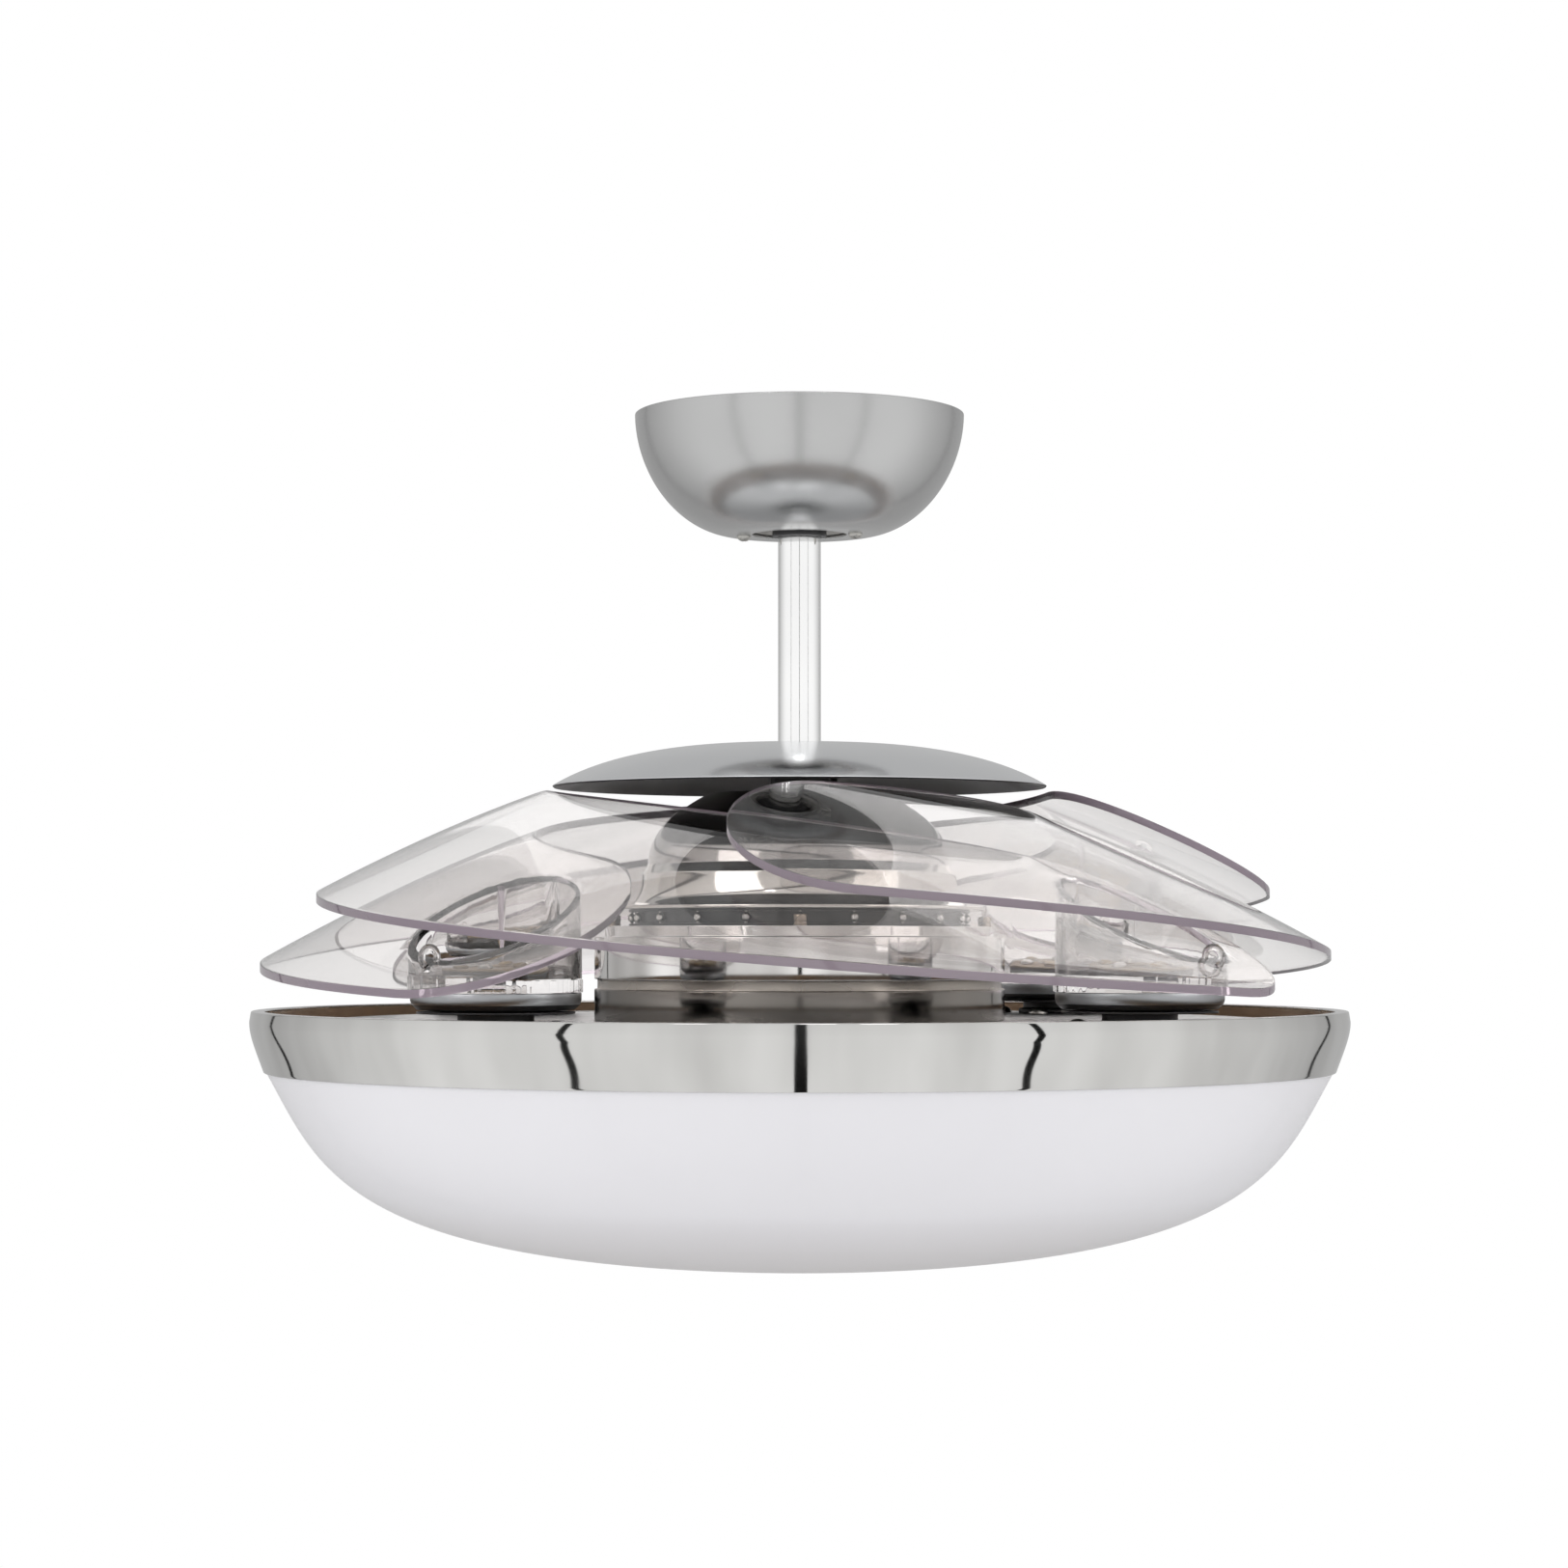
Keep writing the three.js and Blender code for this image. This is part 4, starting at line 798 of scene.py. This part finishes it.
for i in range(4):
    dress(f"planet_gear_{i + 1}", nylon)
    sleeve = turned(
        "sleeve",
        eased([(POST_BORE_R, CARRIER_TOP), (POST_FOOT_R, CARRIER_TOP),
               (POST_FOOT_R, CARRIER_TOP + 2.2), (POST_R, CARRIER_TOP + 2.8),
               (POST_R, POST_TOP), (POST_BORE_R, POST_TOP)], 0.5, 3),
        dark_steel, 80)
    rivets = []
    for k in range(4):
        dome = [(RIVET_R * math.cos(a), RIVET_H * math.sin(a)) for a in
                (math.radians(9 * step) for step in range(11))]
        rivet = turned("rivet", [*dome, (0, 0)], screw_nickel, 32)
        rivet.location = ring_place(RIVETS_AT, math.pi / 2 * k + RIVET_TURN, CARRIER_TOP)
        rivets.append(rivet)
    # Near-black ring under the disc: painted shade in the gap.
    painted_shade_ring = hoop(SHADE_RING_R, 17, POST_TOP - 1.4, POST_TOP - 0.4, painted_shade_metal, 0.3, 80)
    post = joined_pieces(f"post_{i + 1}", [sleeve, painted_shade_ring, *rivets])
    to_pivot(post, i)
    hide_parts(f"pivot_post_{i + 1}")
    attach(post, "rotor")

# ---- Pivot discs -------------------------------------------------------------------------------
# Satin turned discs that carry the blades, with a rolled lower edge; their downward faces are
# painted near-black as shade. Each stands on its own spindle.
DISC_R = 38.8
DISC_LOW = -292.9
DISC_TOP = -285
SPINDLE_R = 6
SPINDLE_LOW = -309.6
disc_satin = hard_finish("disc_satin", (0.46, 0.475, 0.49), (0.4, 0.41, 0.425),
                         (0.28, 0.38), 1.0, 25, 0.25)
for i in range(4):
    disc = turned(
        "disc",
        eased([(0, SPINDLE_LOW), (SPINDLE_R, SPINDLE_LOW), (SPINDLE_R, DISC_LOW),
               (DISC_R - 3.2, DISC_LOW), (DISC_R - 0.6, DISC_LOW + 2.4),
               (DISC_R, DISC_LOW + 4.4), (DISC_R, DISC_TOP), (0, DISC_TOP)], 0.7, 4),
        disc_satin, 120)
    disc.name = f"disc_{i + 1}"
    # Downward faces get the near-black metal: painted shade under the disc.
    second_finish(disc, painted_shade_metal, lambda centre, normal: normal.z < -0.5)
    to_pivot(disc, i)
    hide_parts(f"pivot_disc_{i + 1}")
    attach(disc, f"blade_{i + 1}_body")

# ---- Blades ------------------------------------------------------------------------------------
# Clear moulded plastic with a faint mauve cast in its edges. Each is a doubly curved panel with a
# cup at its root; the cup's thick floor sits on the disc and is held by a clamp plate.
BASE_LOW = DISC_TOP
CUP_FLOOR = BASE_LOW + 6.1
BLADE_T = 3.8
CUP_R = 39
CUP_WALL = 2.5
CUP_HEADROOM = 80
FLUTES = 28
FLUTE_DEPTH = 0.5
RIB_TURN = 222
CURL_R = 6.3
CURL_WIRE = 1.6
CURL_RISE = 2.5
ROOT = (PIVOT_R, 0, 61.5)
TIP_AT = math.radians(131)
TIP_DISTANCE = 181
TIP = (TIP_DISTANCE * math.cos(TIP_AT), TIP_DISTANCE * math.sin(TIP_AT), 56.5)
OUTER_EDGE_R = 250.5
INNER_EDGE_R = 144.6
DOME_SLOPE = 0.8
DOME_R = 270
BLADE_RISE = 34.6
CLIMB_PER_DEGREE = 0.21


def edge_arc(radius, sign):
    """Centre and radius of the arc that touches the round root and the round tip."""
    to_root, to_tip = radius + sign * ROOT[2], radius + sign * TIP[2]
    dx, dy = TIP[0] - ROOT[0], TIP[1] - ROOT[1]
    apart = math.hypot(dx, dy)
    along = (to_root ** 2 - to_tip ** 2 + apart ** 2) / (2 * apart)
    aside = math.sqrt(to_root ** 2 - along ** 2)
    return (ROOT[0] + (dx * along - dy * aside) / apart,
            ROOT[1] + (dy * along + dx * aside) / apart, radius)


def touch(end, arc, sign):
    """Angle round the fan's axis where an end's circle meets an edge arc."""
    dx, dy = end[0] - arc[0], end[1] - arc[1]
    d = math.hypot(dx, dy)
    return math.atan2(end[1] - sign * dy * end[2] / d, end[0] - sign * dx * end[2] / d)


def crossing(circle, psi, side):
    """Distance from the fan's axis at which the direction psi meets a circle."""
    d = math.hypot(circle[0], circle[1])
    turn = psi - math.atan2(circle[1], circle[0])
    return d * math.cos(turn) + side * math.sqrt(max(0, circle[2] ** 2 - (d * math.sin(turn)) ** 2))


OUTER_ARC = edge_arc(OUTER_EDGE_R, -1)
INNER_ARC = edge_arc(INNER_EDGE_R, 1)
OUTER_TOUCH = (touch(ROOT, OUTER_ARC, -1), touch(TIP, OUTER_ARC, -1))
INNER_TOUCH = (touch(ROOT, INNER_ARC, 1), touch(TIP, INNER_ARC, 1))
ROOT_HALF = math.asin(ROOT[2] / PIVOT_R)
TIP_HALF = math.asin(TIP[2] / TIP_DISTANCE)


def blade_edges(psi):
    """Inner and outer distance of the blade's outline in the direction psi."""
    if psi < OUTER_TOUCH[0]:
        outer = crossing(ROOT, psi, 1)
    else:
        outer = crossing(TIP, psi, 1) if psi > OUTER_TOUCH[1] else crossing(OUTER_ARC, psi, 1)
    if psi < INNER_TOUCH[0]:
        inner = crossing(ROOT, psi, -1)
    else:
        inner = crossing(TIP, psi, -1) if psi > INNER_TOUCH[1] else crossing(INNER_ARC, psi, 1)
    return inner, outer


def blade_top(r, psi):
    """Height of the top face: a shallow dome that climbs with the angle round the axis."""
    dome = -DOME_SLOPE * (math.hypot(r, DOME_R) - math.hypot(PIVOT_R, DOME_R))
    return BASE_LOW + BLADE_RISE + dome + CLIMB_PER_DEGREE * math.degrees(psi)


def blade_stations():
    """Angles of the rows of points from root to tip, closer together at the round ends."""
    ends, middle = 18, 80
    psis = [-ROOT_HALF * math.cos(i / ends * math.pi / 2) for i in range(ends + 1)]
    psis += [TIP_AT * i / middle for i in range(1, middle)]
    return psis + [TIP_AT + TIP_HALF * math.sin(i / ends * math.pi / 2) for i in range(ends + 1)]


def blade_loft(name, bottom_of, finishes):
    """The blade's plan outline between its top surface and a lower one; its edge takes finish 1."""
    across = 18
    points, faces, slots, rows = [], [], [], []
    psis = blade_stations()
    for k, psi in enumerate(psis):
        inner, outer = blade_edges(psi)
        row = []
        for j in range(across + 1):
            v = 0.5 - 0.5 * math.cos(math.pi * j / across)
            r = (inner + outer) / 2 if k in (0, len(psis) - 1) else inner + (outer - inner) * v
            x, y = r * math.cos(psi) - PIVOT_R, -r * math.sin(psi)
            row.append(len(points))
            points += [(x, y, blade_top(r, psi)), (x, y, bottom_of(r, psi))]
        rows.append(row)
    for now, then in zip(rows, rows[1:]):
        for j in range(across):
            faces.append((now[j], then[j], then[j + 1], now[j + 1]))
            faces.append((now[j + 1] + 1, then[j + 1] + 1, then[j] + 1, now[j] + 1))
            slots += [0, 0]
        faces.append((now[0], now[0] + 1, then[0] + 1, then[0]))
        faces.append((now[across] + 1, now[across], then[across], then[across] + 1))
        slots += [1, 1]
    return mesh_object(name, points, faces, finishes, slots)


def combine(piece, other, operation):
    """Joins, cuts or crosses a piece with another one, which is used up."""
    step = piece.modifiers.new("step", "BOOLEAN")
    step.object = other
    step.operation = operation
    step.solver = "EXACT"
    step.material_mode = "TRANSFER"
    settle(piece)
    bpy.data.objects.remove(other)


def clear_finish(name, colour, shade, roughness, transmission):
    finish = hard_finish(name, colour, shade, roughness, 0.0, 9)
    shader = finish.node_tree.nodes["Principled BSDF"]
    shader.inputs["IOR"].default_value = 1.49
    shader.inputs["Transmission Weight"].default_value = transmission
    return finish


clear_panel = clear_finish("clear_panel", (0.89, 0.87, 0.862), (0.86, 0.84, 0.832),
                           (0.0, 0.02), 1.0)
clear_edge = clear_finish("clear_edge", (0.7, 0.585, 0.67), (0.6, 0.48, 0.58), (0.03, 0.08), 0.65)


def fluted_edge():
    """The cup's thick floor, with fine upright flutes round it."""
    around_it = 6 * FLUTES
    low, high = BASE_LOW + 0.2, CUP_FLOOR - 0.3
    points = []
    for k in range(around_it):
        angle = 2 * math.pi * k / around_it
        radius = CUP_R + 0.15 + FLUTE_DEPTH * (0.5 + 0.5 * math.cos(FLUTES * angle))
        points += [(radius * math.cos(angle), radius * math.sin(angle), z) for z in (low, high)]
    faces = [tuple(range(0, 2 * around_it, 2)), tuple(range(1, 2 * around_it, 2))]
    for k in range(around_it):
        here, beyond = 2 * k, 2 * ((k + 1) % around_it)
        faces.append((here, beyond, beyond + 1, here + 1))
    return mesh_object("flutes", points, faces, [clear_panel])


def cup_rib():
    """A tapered rib down the inside of the cup's wall."""
    angle = math.radians(RIB_TURN)
    inside = CUP_R - CUP_WALL + 0.4
    x, y = inside * math.cos(angle), inside * math.sin(angle)
    top = blade_top(math.hypot(PIVOT_R + x, y), math.atan2(-y, PIVOT_R + x)) - 1
    outline = [(0, CUP_FLOOR + 2), (0.5, CUP_FLOOR + 2), (1.75, top), (0, top)]
    rib = turned("rib", outline, clear_edge, 24)
    rib.location = Vector((x, y, 0)) * MM
    return rib


def lip_curl():
    """The small curl that ends the mouth's lip at its low side."""
    steps = 24
    angles = [2 * math.pi * k / steps for k in range(steps)]
    circle = [(CURL_R - CURL_WIRE + CURL_WIRE * math.cos(a), CURL_WIRE * math.sin(a))
              for a in angles]
    curl = turned("curl", circle, clear_panel, 40)
    x = CUP_R + 2
    curl.rotation_euler.x = math.pi / 2
    curl.location = Vector((x, 0, blade_top(PIVOT_R + x, 0) + CURL_RISE)) * MM
    return curl


def tall_disc(name, radius, low):
    """A solid that reaches from a height through the blade's top, for shaping the cup."""
    high = CUP_FLOOR + CUP_HEADROOM
    return turned(name, [(0, low), (radius, low), (radius, high), (0, high)], clear_panel, 96)


def make_blade():
    """Panel and cup in one, made round the Z axis, which stands for the pivot."""
    blade = blade_loft("blade_panel", lambda r, psi: blade_top(r, psi) - BLADE_T,
                       [clear_panel, clear_edge])
    under = blade_loft("under", lambda r, psi: BASE_LOW, [clear_panel, clear_panel])
    cup = tall_disc("cup", CUP_R, BASE_LOW)
    combine(cup, under, "INTERSECT")
    combine(blade, cup, "UNION")
    combine(blade, tall_disc("hollow", CUP_R - CUP_WALL, CUP_FLOOR), "DIFFERENCE")
    combine(blade, fluted_edge(), "UNION")
    soften = blade.modifiers.new("soft_edges", "BEVEL")
    soften.width = 1.2 * MM
    soften.segments = 3
    soften.material = 1
    soften.limit_method = "ANGLE"
    soften.angle_limit = math.radians(50)
    settle(blade)
    combine(blade, cup_rib(), "UNION")
    combine(blade, lip_curl(), "UNION")
    blade.data.shade_smooth()
    blade.data.set_sharp_from_angle(angle=math.radians(40))
    return blade


first_blade = make_blade()
for i in range(4):
    blade = bpy.data.objects.new(f"clear_blade_{i + 1}", first_blade.data.copy())
    bpy.context.scene.collection.objects.link(blade)
    to_pivot(blade, i)
    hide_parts(f"blade_{i + 1}")
    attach(blade, f"blade_{i + 1}_body")
bpy.data.objects.remove(first_blade)

# ---- Clamp plates ------------------------------------------------------------------------------
# Dull brass-coloured washers in the cups. Each has a ring of six screw heads, brass and nickel
# by turns.
CLAMP_R = 24
CLAMP_TOP = CUP_FLOOR + 1.6
brass = hard_finish("dull_brass", (0.36, 0.26, 0.13), (0.28, 0.2, 0.1), (0.3, 0.5), 1.0, 60)
for i in range(4):
    pieces = [hoop(CLAMP_R, 8, CUP_FLOOR, CLAMP_TOP, brass, 0.4, 80)]
    for k in range(6):
        angle = math.radians(60 * k + 30)
        head = turned("head", eased([(0, 0), (3.6, 0), (3.2, 1.8), (1.6, 2.6), (0, 2.6)], 0.5, 3),
                      brass if k % 2 else screw_nickel, 32)
        head.location = ring_place(16, angle, CLAMP_TOP)
        pieces.append(head)
    clamp = joined_pieces(f"clamp_{i + 1}", pieces)
    to_pivot(clamp, i)
    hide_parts(f"clamp_plate_{i + 1}")
    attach(clamp, f"blade_{i + 1}_body")

# ---- Pan and rim band --------------------------------------------------------------------------
# Painted pan under the carrier: a floor and a low wall with a lip. A wide polished band, rolled
# over at the top, edges it.
PAN_HOLE_R = 8.3
PAN_R = 264.2
WALL_FOOT_R = 260.2
WALL_INSIDE_R = 262.7
LIP_R = 265.7
RIM_R = 270
RIM_TOP = -296.1
RIM_FOOT = -325.8
BAND_FOOT_R = 262
BAND_WALL = 1.3
PAN_FLOOR = -313.3
PAN_T = 1.5
pan_paint = hard_finish("pan_paint", (0.5, 0.35, 0.23), (0.42, 0.29, 0.19),
                        (0.35, 0.5), 0.1, 30, 0.1)
pan_floor = turned(
    "pan_disc",
    eased([(PAN_HOLE_R, PAN_FLOOR - PAN_T), (PAN_R, PAN_FLOOR - PAN_T), (PAN_R, PAN_FLOOR),
           (PAN_HOLE_R, PAN_FLOOR)], 0.5, 3),
    pan_paint, 200)
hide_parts("pan")
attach(pan_floor, "hanging_frame")
pan_ring = turned(
    "pan_ring",
    eased([(WALL_FOOT_R, PAN_FLOOR), (PAN_R, PAN_FLOOR), (PAN_R, RIM_TOP - 2.8),
           (LIP_R, RIM_TOP - 2.8), (LIP_R, RIM_TOP - BAND_WALL),
           (WALL_INSIDE_R, RIM_TOP - BAND_WALL), (WALL_INSIDE_R, PAN_FLOOR + PAN_T),
           (WALL_FOOT_R, PAN_FLOOR + PAN_T)], 0.5, 3),
    pan_paint, 240)
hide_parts("pan_wall")
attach(pan_ring, "hanging_frame")
# Stretched marks paint faint vertical streaks into the band's colour: painted reflections.
band_chrome = hard_finish("band_chrome", (0.67, 0.665, 0.65), (0.54, 0.535, 0.52),
                          (0.02, 0.07), 1.0, 24, marks_shape=(1.4, 1.4, 0.3))
band_side = curve((RIM_R, RIM_TOP - 5), (RIM_R + 0.2, RIM_TOP - 12),
                  (RIM_R - 3.6, RIM_TOP - 20), (263, RIM_FOOT), 24)
band_inside = [(r - BAND_WALL, z) for r, z in band_side[:-2]]
band = turned(
    "polished_band",
    eased([(WALL_INSIDE_R, RIM_TOP - BAND_WALL), (WALL_INSIDE_R, RIM_TOP), (RIM_R - 0.8, RIM_TOP),
           *band_side, (BAND_FOOT_R, RIM_FOOT), (BAND_FOOT_R, RIM_FOOT + BAND_WALL),
           *band_inside[::-1], (RIM_R - BAND_WALL, RIM_TOP - BAND_WALL)], 0.7, 4),
    band_chrome, 280)
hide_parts("rim_band")
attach(band, "hanging_frame")

# ---- Bowl and lamp plate -----------------------------------------------------------------------
# Opal moulded bowl that hangs in the band's foot. Its side turns gently into a shallow bottom.
# The lamp plate above it is the frame's own solid.
BOWL_LOW = -421.2
BOWL_R = 261.7
BOWL_WALL = 3
BOWL_SIDE = 47
BOWL_LEAN = 0.56
BOWL_TURN_R = 225
FLANGE_R = 261.8
FLANGE_TOP = RIM_FOOT + 7


def bowl_profile(inset):
    """From the band's foot down to the middle of the bottom; inset gives the inner face."""
    r = BOWL_R - inset
    low = BOWL_LOW + inset
    return curve((r, RIM_FOOT), (r - BOWL_SIDE * BOWL_LEAN, RIM_FOOT - BOWL_SIDE),
                 (BOWL_TURN_R - inset, low), (0, low), 60)


def opal_finish():
    """Milky moulding, painted darker and warmer towards its bottom as shade, with faint clouds."""
    finish = bpy.data.materials.new("opal_white")
    finish.use_nodes = True
    tree = finish.node_tree
    shader = tree.nodes["Principled BSDF"]
    shader.inputs["Coat Weight"].default_value = 0.3
    shader.inputs["Coat Roughness"].default_value = 0.12
    place = tree.nodes.new("ShaderNodeTexCoord")
    height = tree.nodes.new("ShaderNodeSeparateXYZ")
    joined(tree, place, "Object", height, "Vector")
    # Ramp towards the bottom: painted shade, darker and warmer below.
    bottom_painted_shade = tree.nodes.new("ShaderNodeMapRange")
    bottom_painted_shade.inputs["From Min"].default_value = (BOWL_LOW + 40) * MM
    bottom_painted_shade.inputs["From Max"].default_value = BOWL_LOW * MM
    joined(tree, height, "Z", bottom_painted_shade, "Value")
    cloud = tree.nodes.new("ShaderNodeTexNoise")
    cloud.inputs["Scale"].default_value = 7
    cloud.inputs["Detail"].default_value = 1
    joined(tree, place, "Object", cloud, "Vector")
    shift = tree.nodes.new("ShaderNodeMapRange")
    shift.inputs["To Min"].default_value = -0.12
    shift.inputs["To Max"].default_value = 0.12
    joined(tree, cloud, "Fac", shift, "Value")
    total = tree.nodes.new("ShaderNodeMath")
    joined(tree, bottom_painted_shade, "Result", total, 0)
    joined(tree, shift, "Result", total, 1)
    tint = tree.nodes.new("ShaderNodeMix")
    tint.data_type = "RGBA"
    tint.inputs["A"].default_value = (0.79, 0.782, 0.812, 1)
    tint.inputs["B"].default_value = (0.61, 0.582, 0.582, 1)
    tree.links.new(total.outputs["Value"], tint.inputs["Factor"])
    tree.links.new(tint.outputs["Result"], shader.inputs["Base Color"])
    gloss = tree.nodes.new("ShaderNodeMapRange")
    gloss.inputs["To Min"].default_value = 0.3
    gloss.inputs["To Max"].default_value = 0.42
    joined(tree, cloud, "Fac", gloss, "Value")
    joined(tree, gloss, "Result", shader, "Roughness")
    return finish


opal = opal_finish()
bowl = turned(
    "opal_bowl",
    eased([*bowl_profile(0), *bowl_profile(BOWL_WALL)[::-1], (258.7, FLANGE_TOP),
           (FLANGE_R, FLANGE_TOP), (FLANGE_R, RIM_FOOT + BAND_WALL),
           (BOWL_R, RIM_FOOT + BAND_WALL)], 0.4, 2),
    opal, 240)
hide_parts("bowl")
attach(bowl, "hanging_frame")
dress("light_plate", nylon)
